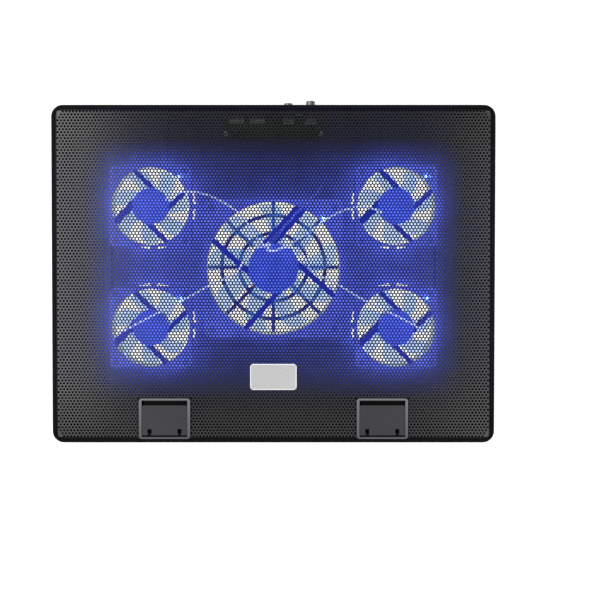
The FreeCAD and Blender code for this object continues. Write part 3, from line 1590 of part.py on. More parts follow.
def support_leg(name, side):
    width, front, axis = dim.leg_width, dim.leg_front, dim.leg_axis
    up, thick = dim.leg_axis_up, dim.leg_thick
    body = hinged_plate("Leg", width, front, axis, leg_low, thick, axis, up)
    # window through the leg
    outline = sketch(body, leg_low - OVER)
    half = dim.leg_window_half
    y0, y1 = front + dim.leg_window_front, axis - dim.leg_window_rear
    round_rect(outline, -half, half, y0, y1, dim.leg_window_round)
    pocket(body, outline, thick + 2 * OVER)
    radius = dim.leg_pin / 2 + dim.leg_pin_gap
    bore_along_x(body, -width / 2 - OVER, width + 2 * OVER, radius, axis, up)
    place(body, dim.leg_across * side)
    keep(body, "support_leg_" + name)


def leg_tip(name, side):
    """Block on the free end of the leg."""
    middle, half = dim.leg_across * side, dim.leg_width / 2 - dim.leg_tip_side
    front, inset = dim.leg_front, dim.leg_tip_inset
    low, high = leg_low + inset, leg_low + dim.leg_thick - inset
    tip = box(middle - half, middle + half, front - dim.leg_tip_long, front, low, high)
    keep(tip, "leg_tip_" + name)


def leg_hinge_pins():
    past = dim.leg_pin_past
    pins = [
        rod(
            dim.leg_pin / 2,
            dim.leg_width + 2 * past,
            dim.leg_across * side - dim.leg_width / 2 - past,
            dim.leg_axis,
            dim.leg_axis_up,
            ALONG_X,
        )
        for _, side in SIDES
    ]
    keep(group(pins), "leg_hinge_pins")


# ================================================================ build, check and write

base_shell()
top_frame()
steel_panel()
badge()
for name, side in SIDES:
    stopper_bezel(name, side)
    stopper_flap(name, side)
stopper_hinge_pins()
all_fans()
keep(group([case_screw(x, y) for x, y in CASE]), "case_screws")
rear_controls()
leads()
rubber_feet()
for name, side in SIDES:
    support_leg(name, side)
    leg_tip(name, side)
leg_hinge_pins()

doc.recompute()
for obj in doc.Objects:
    if "Invalid" in obj.State or "Error" in obj.State or "Touched" in obj.State:
        raise RuntimeError("%s (%s) is %s" % (obj.Name, obj.Label, obj.State))
if len({obj.Label for obj in PIECES}) != len(PIECES):
    raise RuntimeError("two pieces share a name")
os.makedirs("parts", exist_ok=True)
for obj in PIECES:
    shape = obj.Shape
    if shape.isNull() or not shape.isValid() or shape.Volume <= 0:
        raise RuntimeError(obj.Label + " has no valid shape")
    if obj.TypeId == "PartDesign::Body" and len(shape.Solids) != 1:
        raise RuntimeError("%s has %d solids" % (obj.Label, len(shape.Solids)))
Part.setStaticValue("write.surfacecurve.mode", 0)
for obj in PIECES:
    obj.Shape.exportStep(os.path.join("parts", obj.Label + ".step"))
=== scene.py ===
"""A flat pad with five blue-lit fans under a perforated steel sheet.

The pad lies on the floor at z = 0, centred near the origin: X runs to the right, Y to the rear
(the badge is at the front), Z up. Sizes are in mm and become metres through MM, except where a
comment says metres. Node inputs in object space are in metres.
"""
import functools
import math
from collections import namedtuple

import bpy
import numpy as np
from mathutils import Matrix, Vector
from mathutils.geometry import delaunay_2d_cdt


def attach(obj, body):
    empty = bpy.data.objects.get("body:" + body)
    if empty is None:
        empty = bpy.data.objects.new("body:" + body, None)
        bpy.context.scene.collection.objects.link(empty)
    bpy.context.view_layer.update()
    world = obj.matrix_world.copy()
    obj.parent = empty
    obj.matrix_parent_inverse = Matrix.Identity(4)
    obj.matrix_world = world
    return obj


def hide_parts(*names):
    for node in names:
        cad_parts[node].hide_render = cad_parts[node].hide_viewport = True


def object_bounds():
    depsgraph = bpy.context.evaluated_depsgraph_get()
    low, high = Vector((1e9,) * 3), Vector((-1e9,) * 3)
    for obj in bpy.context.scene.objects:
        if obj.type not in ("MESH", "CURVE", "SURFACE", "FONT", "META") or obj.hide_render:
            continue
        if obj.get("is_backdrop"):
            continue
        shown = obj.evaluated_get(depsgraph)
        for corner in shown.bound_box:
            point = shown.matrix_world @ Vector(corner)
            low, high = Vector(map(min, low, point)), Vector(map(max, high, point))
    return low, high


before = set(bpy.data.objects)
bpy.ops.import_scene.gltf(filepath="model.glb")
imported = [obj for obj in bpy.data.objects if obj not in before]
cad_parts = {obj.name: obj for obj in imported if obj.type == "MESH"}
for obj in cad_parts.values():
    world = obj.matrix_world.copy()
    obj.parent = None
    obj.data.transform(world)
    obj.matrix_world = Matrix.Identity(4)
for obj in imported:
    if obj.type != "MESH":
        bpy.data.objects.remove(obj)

CAD_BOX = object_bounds()
MM = 0.001
scene = bpy.context.scene

# ------------------------------------------------------------------ dimensions
# hub and tip radius, blade count, segments round the hub,
# half the blade's width at mid span, and how far the tip is swept round (radians)
Wheel = namedtuple("Wheel", "hub tip blades segments half_width sweep")
# bore: radius of the opening; disc: radius of the motor disc; struts stand 90 degrees apart
# from strut_angle (degrees), each shifted sideways by strut_offset; lamp_power is in watts
Fan = namedtuple("Fan", "name x y bore disc strut_angle strut_offset strut_widths "
                        "lamp_weight lamp_power wheel")

LARGE_WHEEL = Wheel(hub=21.0, tip=56.0, blades=9, segments=72, half_width=7.6, sweep=0.26)
SMALL_WHEEL = Wheel(hub=15.0, tip=32.2, blades=7, segments=56, half_width=6.6, sweep=0.22)


def corner_fan(name, x, y):
    return Fan(name, x, y, bore=33.5, disc=15.5, strut_angle=45.0, strut_offset=-12.0,
               strut_widths=(4.0, 4.0, 6.0, 4.0), lamp_weight=1.3, lamp_power=0.012,
               wheel=SMALL_WHEEL)


CORNER_FAN_X, REAR_FAN_Y, FRONT_FAN_Y = 106.0, 58.5, -46.5
FANS = [
    Fan("center", 0.0, 5.0, bore=57.5, disc=21.5, strut_angle=48.0, strut_offset=17.0,
        strut_widths=(10.0, 4.4, 4.4, 4.4), lamp_weight=0.7, lamp_power=0.02,
        wheel=LARGE_WHEEL),
    corner_fan("rear_left", -CORNER_FAN_X, REAR_FAN_Y),
    corner_fan("rear_right", CORNER_FAN_X, REAR_FAN_Y),
    corner_fan("front_left", -CORNER_FAN_X, FRONT_FAN_Y),
    corner_fan("front_right", CORNER_FAN_X, FRONT_FAN_Y),
]

SHEET_TOP, SHEET_BOTTOM = 27.4, 26.6
SHEET_HALF_X, SHEET_HALF_Y, SHEET_CORNER = 186.2, 141.2, 6.2
NOTCH_X, NOTCH_HALF, NOTCH_END_Y = 93.5, 21.5, -107.1   # two notches in the front edge
BADGE_Y, BADGE_HALF_X, BADGE_HALF_Y = -88.0, 19.9, 11.15
PIN_HOLE_X, PIN_HOLE_Y, PIN_HOLE_RADIUS = 12.0, BADGE_Y, 1.1   # two holes under the badge

PITCH = 2.92                         # between neighbouring holes in a row
ROW = PITCH * math.sqrt(3) / 2       # between rows
HOLE_RADIUS = 1.02
HOLE_SIDES = 12

# The lamp field: painted light of the lamps inside the case, laid on as emission, 0 to 1
FIELD_FALLOFF = 9.0          # distance from a bore at which a fan's share is halved
FIELD_EXPONENT = 1.3
FIELD_CUTOFF = 0.08
# range in mm and the level at its two ends, for |x|, for y at the rear and y at the front
FIELD_FADES = (
    ((143.0, 166.0), (1.0, 0.10)),
    ((95.5, 118.0), (1.0, 0.12)),
    ((-112.0, -84.0), (0.02, 1.0)),
)

# emission colours of painted lamp light
LIT = (0.118, 0.172, 1.01)           # plastic in full lamp light
WEB_BLUE = (0.0, 0.002, 0.095)       # webs of the sheet in full lamp light
WEB_OVER_DISC = (0.002, 0.008, 0.24)
WEB_OVER_STRUT = (0.003, 0.009, 0.22)
WEB_OVER_OPENING = (0.001, 0.003, 0.018)
WHITE = (1.0, 1.0, 1.0)

UNIT = (0.0, 1.0)
NOISE_BAND = (0.3, 0.7)              # where most of a noise texture's values lie


# ------------------------------------------------------------------ node graphs
class Graph:
    """Builds one node tree. Inputs are sockets, which get linked, or plain values."""

    def __init__(self, tree):
        self.tree = tree
        tree.nodes.clear()

    @functools.cached_property
    def position(self):
        return self.node("TexCoord").outputs["Object"]

    def node(self, kind, inputs=None, **settings):
        node = self.tree.nodes.new("ShaderNode" + kind)
        for key, value in settings.items():
            setattr(node, key, value)
        for key, value in (inputs or {}).items():
            socket = node.inputs[key]
            if isinstance(value, bpy.types.NodeSocket):
                self.tree.links.new(value, socket)
            elif socket.type == "RGBA":
                socket.default_value = (*value, 1.0)
            else:
                socket.default_value = value
        return node

    def math(self, operation, a, b=None, clamp=False):
        inputs = {0: a} if b is None else {0: a, 1: b}
        return self.node("Math", inputs, operation=operation, use_clamp=clamp).outputs[0]

    def add(self, a, b):
        return self.math("ADD", a, b)

    def minus(self, a, b):
        return self.math("SUBTRACT", a, b)

    def times(self, a, b):
        return self.math("MULTIPLY", a, b)

    def above(self, a, limit):
        return self.math("GREATER_THAN", a, limit)

    def below(self, a, limit):
        return self.math("LESS_THAN", a, limit)

    def absolute(self, a):
        return self.math("ABSOLUTE", a)

    def fold(self, operation, values):
        return functools.reduce(lambda a, b: self.math(operation, a, b), values)

    def split(self, vector):
        return self.node("SeparateXYZ", {0: vector}).outputs

    def normal(self):
        return self.node("NewGeometry").outputs["Normal"]

    def noise(self, scale, detail=2.0, roughness=0.5, stretch=None):
        place = self.position
        if stretch:
            place = self.node("Mapping", {"Vector": place, "Scale": stretch}).outputs[0]
        return self.node("TexNoise", {"Vector": place, "Scale": scale, "Detail": detail,
                                      "Roughness": roughness}).outputs["Fac"]

    def ramp(self, value, over=NOISE_BAND, to=UNIT, curve="LINEAR"):
        return self.node("MapRange", {"Value": value, "From Min": over[0], "From Max": over[1],
                                      "To Min": to[0], "To Max": to[1]},
                         interpolation_type=curve).outputs[0]

    def mix(self, factor, first, second):
        return self.node("Mix", {0: factor, 6: first, 7: second}, data_type="RGBA").outputs[2]

    def bump(self, height, strength, depth):
        return self.node("Bump", {"Height": height, "Strength": strength,
                                  "Distance": depth}).outputs[0]

    def principled(self, **inputs):
        named = {key.replace("_", " "): value for key, value in inputs.items()}
        return self.node("BsdfPrincipled", named).outputs[0]

    def transparent(self, colour=WHITE):
        return self.node("BsdfTransparent", {"Color": colour}).outputs[0]

    def mix_shader(self, factor, first, second):
        return self.node("MixShader", {0: factor, 1: first, 2: second}).outputs[0]


def material(name, build, **options):
    made = bpy.data.materials.new(name)
    made.use_nodes = True
    tree = Graph(made.node_tree)
    tree.node("OutputMaterial", {"Surface": build(tree, **options)})
    return made


def scaled(colour, factor):
    return tuple(value * factor for value in colour)


# ------------------------------------------------------------------ light of the lamps, painted as emission
def fan_distance(tree, fan):
    """Distance in the plane from the axis of a fan."""
    flat = tree.node("VectorMath", {0: tree.position, 1: (1, 1, 0)}, operation="MULTIPLY")
    return tree.node("VectorMath", {0: flat.outputs[0], 1: (fan.x * MM, fan.y * MM, 0)},
                     operation="DISTANCE").outputs["Value"]


def lamp_field(tree):
    """The lamp field as nodes."""
    def share(fan):
        gap = tree.minus(fan_distance(tree, fan), fan.bore * MM)
        gap = tree.math("MAXIMUM", gap, 0.0)
        falloff = tree.math("DIVIDE", gap, FIELD_FALLOFF * MM)
        falloff = tree.math("POWER", falloff, FIELD_EXPONENT)
        return tree.math("DIVIDE", fan.lamp_weight, tree.add(falloff, 1.0))

    total = tree.fold("ADD", map(share, FANS))
    x, y, _ = tree.split(tree.position)
    level = tree.math("SUBTRACT", total, FIELD_CUTOFF, clamp=True)
    for place, ((start, end), levels) in zip((tree.absolute(x), y, y), FIELD_FADES):
        fade = tree.ramp(place, over=(start * MM, end * MM), to=levels)
        level = tree.times(level, fade)
    return level


def lamp_field_at(x, y):
    """The lamp field as a number, for a point in mm."""
    total = 0.0
    for fan in FANS:
        gap = max(0.0, math.hypot(x - fan.x, y - fan.y) - fan.bore)
        total += fan.lamp_weight / (1.0 + (gap / FIELD_FALLOFF) ** FIELD_EXPONENT)
    level = min(1.0, max(0.0, total - FIELD_CUTOFF))
    for place, ((start, end), (low, high)) in zip((abs(x), y, y), FIELD_FADES):
        level *= low + (high - low) * min(1.0, max(0.0, (place - start) / (end - start)))
    return level


def painted_wire_light(tree, reach):
    """How strongly the nearest lit fan lights a wire with painted lamp light, 0 to 1, fading out
    over the reach.
    """
    full_inside = 4.0     # full strength starts this far inside the bore
    return tree.fold("MAXIMUM", (
        tree.ramp(fan_distance(tree, fan),
                  over=((fan.bore + reach) * MM, (fan.bore - full_inside) * MM),
                  curve="SMOOTHSTEP")
        for fan in FANS))


def inside_case(tree):
    """1 above the floor of the case and inside its side walls, 0 elsewhere."""
    half_x, half_y, floor_z = 0.1879, 0.1429, 0.0049     # metres
    x, y, z = tree.split(tree.position)
    in_x = tree.below(tree.absolute(x), half_x)
    in_y = tree.below(tree.absolute(y), half_y)
    return tree.times(tree.times(in_x, in_y), tree.above(z, floor_z))


def case_glow(tree, strength):
    """Emission of the case as painted lamp light: the lamp field, and full light on the bars
    across the bores.
    """
    bar_margin, bar_blue, upward = 1.0, (0.012, 0.026, 0.40), 0.3
    up = tree.split(tree.normal())[2]
    facing = tree.above(up, upward)
    level = tree.times(lamp_field(tree), inside_case(tree))
    level = tree.times(level, tree.ramp(up, over=UNIT, to=(0.35, 1.0)))
    near = tree.fold("MINIMUM", (
        tree.minus(fan_distance(tree, fan), (fan.bore + bar_margin) * MM) for fan in FANS))
    bars = tree.times(tree.below(near, 0.0), facing)
    patches = tree.ramp(tree.noise(scale=60.0), to=(0.8, 1.15))
    level = tree.times(tree.math("MAXIMUM", level, bars), patches)
    return {"Emission_Color": tree.mix(bars, LIT, bar_blue),
            "Emission_Strength": tree.times(level, strength)}


def fan_frame_light(tree, z, plate_colour, level):
    """Gives the plate, struts, motor disc and bore wall of a fan frame their own painted lamp
    light.
    """
    wall_half, wall_top = 0.0002, 0.0213     # metres
    disc_margin = 0.3
    strut_blue, disc_blue = (0.008, 0.022, 0.42), (0.085, 0.155, 0.98)
    # wall_blue: painted highlight on the bore wall
    wall_blue, wall_level = (0.62, 0.76, 1.0), 0.5
    distances = [fan_distance(tree, fan) for fan in FANS]
    bore = tree.fold("MINIMUM", (
        tree.minus(distance, fan.bore * MM) for distance, fan in zip(distances, FANS)))
    disc = tree.fold("MINIMUM", (
        tree.minus(distance, (fan.disc + disc_margin) * MM)
        for distance, fan in zip(distances, FANS)))
    wall = tree.times(tree.below(tree.absolute(bore), wall_half), tree.below(z, wall_top))
    colour = tree.mix(tree.below(bore, 0.0), plate_colour, strut_blue)
    colour = tree.mix(tree.below(disc, 0.0), colour, disc_blue)
    colour = tree.mix(wall, colour, wall_blue)
    rest = tree.times(level, tree.minus(1.0, wall))
    return colour, tree.add(rest, tree.times(wall, wall_level))


# ------------------------------------------------------------------ material builders
def abs_plastic(tree, dark, light, rough=0.46, grain=0.35, glow=0.0, gloss=0.5):
    broad = tree.noise(scale=22.0, detail=3.0)
    fine = tree.noise(scale=2600.0, roughness=0.6)
    colour = tree.mix(tree.ramp(broad), dark, light)
    specks = tree.ramp(fine, over=(0.35, 0.7), to=(0.0, 0.35))
    colour = tree.mix(specks, colour, scaled(light, 1.8))
    roughness = tree.add(tree.ramp(fine, to=(rough - 0.05, rough + 0.07)),
                         tree.ramp(broad, to=(-0.03, 0.03)))
    emission = case_glow(tree, glow) if glow else {}
    return tree.principled(Base_Color=colour, Roughness=roughness, Specular_IOR_Level=gloss,
                           Normal=tree.bump(fine, strength=grain, depth=0.00006), **emission)


def lit_plastic(tree, base, blue, strength, rough=0.4, fan_frame=False):
    """Black moulded plastic close to the lamps, with painted blue lamp light as emission, more so
    higher up.
    """
    fine = tree.noise(scale=1800.0)
    broad = tree.noise(scale=70.0)
    z = tree.split(tree.position)[2]
    # painted lamp light: the emission grows with height
    height = tree.ramp(z, over=(0.006, 0.0205), to=(0.45, 1.0))
    level = tree.times(tree.times(height, tree.ramp(broad, to=(0.8, 1.2))), strength)
    if fan_frame:
        blue, level = fan_frame_light(tree, z, blue, level)
    return tree.principled(Base_Color=tree.mix(tree.ramp(broad), base, scaled(base, 1.5)),
                           Roughness=tree.ramp(fine, to=(rough - 0.05, rough + 0.08)),
                           Normal=tree.bump(fine, strength=0.25, depth=0.00004),
                           Emission_Color=blue, Emission_Strength=level)


def metal(tree, colour, rough, stretch=(1, 1, 1), scale=900.0, variation=0.08, strength=0.25,
          metallic=1.0):
    grain = tree.noise(scale, detail=3.0, roughness=0.6, stretch=stretch)
    broad = tree.noise(scale=45.0)
    roughness = tree.add(tree.ramp(grain, to=(rough - 0.06, rough + 0.08)),
                         tree.ramp(broad, to=(-0.03, 0.03)))
    return tree.principled(Base_Color=tree.mix(tree.ramp(grain),
                                               scaled(colour, 1 - variation * 2),
                                               scaled(colour, 1 + variation)),
                           Roughness=roughness, Metallic=metallic,
                           Normal=tree.bump(grain, strength=strength, depth=0.00001))


def bezel(tree):
    """Moulded tray: glossy raised lip, which is also lighter and glows white as a painted
    highlight, more towards the rear; matt dark inside.
    """
    lip_z = 0.02755     # metres
    fine = tree.noise(scale=1900.0)
    broad = tree.noise(scale=40.0)
    _, y, z = tree.split(tree.position)
    lip = tree.above(z, lip_z)
    colour = tree.mix(tree.ramp(broad), (0.004, 0.004, 0.0045), (0.007, 0.007, 0.008))
    # painted highlight: the lip is lighter than the rest of the tray
    colour = tree.mix(lip, colour, (0.035, 0.035, 0.040))
    # painted highlight: the lip glows white, more towards the rear
    fade = tree.ramp(y, over=(-0.146, -0.104), to=(0.05, 0.17))
    return tree.principled(Base_Color=colour, Roughness=tree.ramp(fine, to=(0.34, 0.46)),
                           Specular_IOR_Level=tree.ramp(lip, over=UNIT, to=(0.08, 0.7)),
                           Normal=tree.bump(fine, strength=0.2, depth=0.00004),
                           Emission_Color=(0.92, 0.94, 1.0),
                           Emission_Strength=tree.times(lip, fade))


def rubber(tree):
    fine = tree.noise(scale=1500.0, detail=3.0, roughness=0.7)
    broad = tree.noise(scale=120.0)
    colour = tree.mix(tree.ramp(broad), (0.016, 0.016, 0.017), (0.034, 0.033, 0.032))
    return tree.principled(Base_Color=colour, Roughness=tree.ramp(fine, to=(0.72, 0.9)),
                           Normal=tree.bump(fine, strength=0.5, depth=0.00008),
                           Specular_IOR_Level=0.3)


def knob(tree):
    """Glossy black, duller on faces that look to the front or rear."""
    fine = tree.noise(scale=900.0)
    broad = tree.noise(scale=200.0, detail=3.0)
    colour = tree.mix(tree.ramp(broad, over=(0.35, 0.65)),
                      (0.002, 0.002, 0.0025), (0.005, 0.005, 0.006))
    side = tree.absolute(tree.split(tree.normal())[1])
    return tree.principled(Base_Color=colour, Roughness=tree.ramp(fine, to=(0.10, 0.16)),
                           Normal=tree.bump(fine, strength=0.05, depth=0.00002), IOR=2.1,
                           Specular_IOR_Level=tree.ramp(side, over=(0.35, 0.80),
                                                        to=(1.0, 0.10)))


def sheet_steel(tree):
    """Satin black powder coat, less specular along plain edges as painted shade beside the rim and
    the stopper bezels, with painted lamp light on the webs.
    """
    edge_x, edge_y, notch_edge = 1.3, 1.5, 1.6     # widths of the painted shade along the edges, mm
    fine = tree.noise(scale=1700.0, roughness=0.6)
    broad = tree.noise(scale=30.0, detail=3.0)
    colour = tree.mix(tree.ramp(broad), (0.006, 0.006, 0.007), (0.011, 0.011, 0.012))
    x, y, _ = tree.split(tree.position)
    side = tree.absolute(x)
    at_side = tree.above(side, (SHEET_HALF_X - edge_x) * MM)
    at_end = tree.above(tree.absolute(y), (SHEET_HALF_Y - edge_y) * MM)
    from_notch = tree.absolute(tree.minus(side, NOTCH_X * MM))
    at_notch = tree.times(tree.below(from_notch, (NOTCH_HALF + notch_edge) * MM),
                          tree.below(y, (NOTCH_END_Y + notch_edge) * MM))
    # painted shade: the plain edges get little specular, which darkens them
    plain = tree.fold("MAXIMUM", (at_side, at_end, at_notch))
    # painted lamp light on the webs, stored on the mesh
    light = tree.node("Attribute", attribute_name="lamp_wash").outputs["Color"]
    patches = tree.ramp(broad, over=(0.25, 0.75), to=(0.85, 1.0))
    return tree.principled(Base_Color=colour, Roughness=tree.ramp(fine, to=(0.19, 0.25)),
                           Specular_IOR_Level=tree.ramp(plain, over=UNIT, to=(0.9, 0.10)),
                           Normal=tree.bump(fine, strength=0.06, depth=0.00003),
                           Emission_Color=tree.mix(patches, (0, 0, 0), light),
                           Emission_Strength=1.0)


def badge(tree):
    """Satin silver plate with a painted highlight along its edges, a faint painted glow all over,
    and painted shade a little darker towards the left.
    """
    edge_width = 0.75
    grain = tree.noise(scale=5200.0, detail=3.0, roughness=0.7, stretch=(0.035, 1, 1))
    broad = tree.noise(scale=38.0)
    x, y, _ = tree.split(tree.position)
    # painted shade: a little darker towards the left
    slope = tree.ramp(x, over=(-0.02, 0.02), to=(0.86, 1.0))
    colour = tree.mix(tree.ramp(grain), scaled(WHITE, 0.62), scaled(WHITE, 0.80))
    colour = tree.mix(slope, scaled(WHITE, 0.56), colour)
    # painted highlight: lighter edges
    at_side = tree.above(tree.absolute(x), (BADGE_HALF_X - edge_width) * MM)
    at_end = tree.above(tree.absolute(tree.minus(y, BADGE_Y * MM)),
                        (BADGE_HALF_Y - edge_width) * MM)
    edge = tree.math("MAXIMUM", at_side, at_end)
    colour = tree.mix(edge, colour, scaled(WHITE, 0.97))
    roughness = tree.add(tree.ramp(grain, to=(0.30, 0.44)), tree.ramp(broad, to=(-0.04, 0.04)))
    return tree.principled(Base_Color=colour, Roughness=roughness, Metallic=0.25,
                           Normal=tree.bump(grain, strength=0.2, depth=0.00002),
                           # painted glow all over the plate, stronger on the edges
                           Emission_Color=WHITE,
                           Emission_Strength=tree.ramp(edge, over=UNIT, to=(0.11, 0.42)))


def blade_plastic(tree):
    """Clear moulded plastic, milky in patches and at a slant; the milky part glows with painted
    blue lamp light.
    """
    edge_milk = 0.46     # milkiness added where the surface is seen at a slant
    broad = tree.noise(scale=90.0)
    fine = tree.noise(scale=1500.0)
    # the milky shader glows: painted lamp light
    milky = tree.principled(Base_Color=(0.55, 0.70, 1.0),
                            Roughness=tree.ramp(fine, to=(0.12, 0.2)),
                            Emission_Color=(0.10, 0.36, 1.0), Emission_Strength=0.62,
                            Normal=tree.bump(broad, strength=0.15, depth=0.0004))
    slant = tree.node("LayerWeight", {"Blend": 0.35}).outputs["Facing"]
    milk = tree.math("ADD", tree.ramp(broad, to=(0.08, 0.26)), tree.times(slant, edge_milk),
                     clamp=True)
    return tree.mix_shader(milk, tree.transparent((0.84, 0.92, 1.0)), milky)


def led(tree):
    fine = tree.noise(scale=700.0)
    return tree.principled(Base_Color=(0.2, 0.35, 1.0), Roughness=tree.ramp(fine, to=(0.08, 0.16)),
                           Emission_Color=(0.12, 0.25, 1.0), Emission_Strength=6.0,
                           Coat_Weight=0.5)


def lens(tree):
    """Indicator lens, glowing at its outer, rear end."""
    fine = tree.noise(scale=700.0)
    y = tree.split(tree.position)[1]
    return tree.principled(Base_Color=(0.55, 0.68, 0.95),
                           Roughness=tree.ramp(fine, to=(0.06, 0.12)),
                           Emission_Color=(0.15, 0.3, 1.0),
                           Emission_Strength=tree.ramp(y, over=(0.1425, 0.1440),
                                                       to=(0.02, 0.8)),
                           Transmission_Weight=0.4, Coat_Weight=0.4)


def wire(tree, base, rough, glow=None, reach=52.0):
    fine = tree.noise(scale=900.0, detail=3.0)
    broad = tree.noise(scale=60.0)
    emission = {}
    # painted lamp light on the wire near the fans
    if glow:
        emission = {"Emission_Color": glow, "Emission_Strength": painted_wire_light(tree, reach)}
    return tree.principled(Base_Color=tree.mix(tree.ramp(broad), scaled(base, 0.86), base),
                           Roughness=tree.ramp(fine, to=(rough - 0.06, rough + 0.08)),
                           Normal=tree.bump(fine, strength=0.2, depth=0.00004), **emission)


def circuit_board(tree):
    brick = tree.node("TexBrick", {
        "Vector": tree.position, "Scale": 260.0, "Mortar Size": 0.035,
        "Color1": (0.006, 0.036, 0.014), "Color2": (0.008, 0.042, 0.017),
        "Mortar": (0.014, 0.07, 0.028)}).outputs
    fine = tree.noise(scale=1500.0, detail=3.0)
    colour = tree.mix(tree.ramp(fine, to=(0.0, 0.25)), brick["Color"], (0.01, 0.06, 0.02))
    return tree.principled(Base_Color=colour, Roughness=tree.ramp(fine, to=(0.24, 0.34)),
                           Normal=tree.bump(brick["Fac"], strength=0.3, depth=0.00004),
                           Coat_Weight=0.2)


def banded_metal(tree, scale, distortion, dark, light, rough, metallic, strength, depth,
                 coat=0.0):
    """Metal in thin layers stacked along Z."""
    bands = tree.node("TexWave", {"Vector": tree.position, "Scale": scale,
                                  "Distortion": distortion}, bands_direction="Z").outputs["Fac"]
    return tree.principled(Base_Color=tree.mix(bands, dark, light), Roughness=rough,
                           Metallic=metallic, Normal=tree.bump(bands, strength, depth),
                           Coat_Weight=coat)


# ------------------------------------------------------------------ materials
MATERIALS = {
    "case": material("case_abs", abs_plastic, dark=(0.0075, 0.0075, 0.0082),
                     light=(0.0125, 0.0125, 0.0135), rough=0.47, glow=1.0, gloss=0.45),
    "rim": material("rim_abs", abs_plastic, dark=(0.0035, 0.0035, 0.0038),
                    light=(0.0060, 0.0060, 0.0065), rough=0.62, glow=0.8, gloss=0.10),
    "bezel": material("bezel_abs", bezel),
    "flap": material("flap_abs", abs_plastic, dark=(0.037, 0.038, 0.042),
                     light=(0.050, 0.051, 0.057), rough=0.5, grain=0.25),
    "leg": material("leg_abs", abs_plastic, dark=(0.010, 0.010, 0.011),
                    light=(0.017, 0.017, 0.019), rough=0.5),
    "frame": material("fan_frame_plastic", lit_plastic, base=(0.008, 0.008, 0.012),
                      blue=LIT, strength=0.95, fan_frame=True),
    "hub": material("hub_plastic", lit_plastic, base=(0.012, 0.016, 0.04),
                    blue=(0.004, 0.016, 0.28), strength=0.7, rough=0.32),
    "rubber": material("rubber_matt", rubber),
    "knob": material("knob_gloss", knob),
    "sheet": material("perforated_steel", sheet_steel),
    "badge": material("badge_brushed", badge),
    "blade": material("clear_blade_plastic", blade_plastic),
    "led": material("led_lit_blue", led),
    "lens": material("indicator_lens", lens),
    "white_wire": material("wire_white_pvc", wire, base=(0.72, 0.74, 0.78), rough=0.42,
                           glow=(0.62, 0.72, 1.25)),
    "black_wire": material("wire_black_pvc", wire, base=(0.016, 0.016, 0.018), rough=0.4,
                           glow=(0.10, 0.15, 0.85), reach=66.0),
    "sleeve": material("sleeve_black", wire, base=(0.02, 0.02, 0.022), rough=0.5,
                       glow=(0.05, 0.075, 0.50)),
    "nylon": material("nylon_black", wire, base=(0.022, 0.022, 0.024), rough=0.5),
    "pcb": material("board_green", circuit_board),
    "lamination": material("stator_laminations", banded_metal, scale=320.0, distortion=0.0,
                           dark=(0.12, 0.12, 0.13), light=(0.34, 0.34, 0.36), rough=0.42,
                           metallic=0.9, strength=0.4, depth=0.00005),
    "copper": material("winding_copper", banded_metal, scale=700.0, distortion=0.6,
                       dark=(0.30, 0.10, 0.035), light=(0.72, 0.33, 0.14), rough=0.3,
                       metallic=1.0, strength=0.6, depth=0.00006, coat=0.3),
    "bright_steel": material("shaft_ground_steel", metal, colour=(0.62, 0.62, 0.64), rough=0.2,
                             stretch=(1, 1, 8), scale=1400.0),
    "bronze": material("bearing_bronze", metal, colour=(0.50, 0.34, 0.14), rough=0.42,
                       scale=2200.0, variation=0.14, strength=0.4),
    "ferrite": material("magnet_ferrite", metal, colour=(0.06, 0.06, 0.065), rough=0.5,
                        scale=2500.0, metallic=0.3),
    "zinc": material("screw_zinc", metal, colour=(0.48, 0.49, 0.52), rough=0.3, scale=1600.0),
    "black_screw": material("screw_black_oxide", metal, colour=(0.045, 0.045, 0.048),
                            rough=0.4, scale=1600.0, metallic=0.8),
    # fan screws: black, with the blue laid on as painted lamp light
    "fan_screw": material("screw_black_painted_blue_light", lit_plastic, base=(0.016, 0.018, 0.035),
                          blue=(0.09, 0.13, 0.80), strength=0.85),
    "nickel": material("socket_nickel", metal, colour=(0.60, 0.60, 0.61), rough=0.24,
                       stretch=(1, 6, 1), scale=1100.0),
    "white_nylon": material("tongue_white", wire, base=(0.66, 0.66, 0.64), rough=0.4),
    "component": material("component_epoxy", abs_plastic, dark=(0.010, 0.010, 0.011),
                          light=(0.022, 0.022, 0.024), rough=0.38),
    "pot": material("control_body", metal, colour=(0.34, 0.35, 0.37), rough=0.35,
                    scale=1500.0),
}

# start of a CAD piece's name: its material; the longest start that fits wins
FINISH = {
    "base_shell": "case", "top_frame": "rim", "badge": "badge",
    "stopper_bezel": "bezel", "stopper_flap": "flap", "stopper_hinge_pins": "bright_steel",
    "fan_frame": "frame", "impeller": "blade", "rotor_shaft": "bright_steel",
    "magnet_ring": "ferrite", "bearing_sleeves": "bronze", "fan_stators": "lamination",
    "fan_coils": "copper", "fan_circuit_boards": "pcb", "fan_leds": "led",
    "fan_screws": "fan_screw", "case_screws": "black_screw", "control_board": "pcb",
    "board_screws": "zinc", "board_components": "component", "usb_socket_shells": "nickel",
    "usb_socket_tongues": "white_nylon", "speed_controls": "pot", "light_switch": "component",
    "power_indicator": "lens", "lead_header": "nylon", "lead_plug": "nylon",
    "main_lead": "black_wire", "corner_fan_leads": "white_wire", "splice_sleeve": "sleeve",
    "rubber_feet": "rubber", "leg_hinge_pins": "bright_steel", "knob_shaft": "bright_steel",
    "knob": "knob", "light_button": "knob", "support_leg": "leg", "leg_tip": "rubber",
}


def finish_cad_pieces():
    for name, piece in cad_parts.items():
        key = max((start for start in FINISH if name.startswith(start)), key=len, default=None)
        if key is None:
            continue
        slots = piece.data.materials
        if not slots:
            slots.append(None)
        for i in range(len(slots)):
            slots[i] = MATERIALS[FINISH[key]]


finish_cad_pieces()


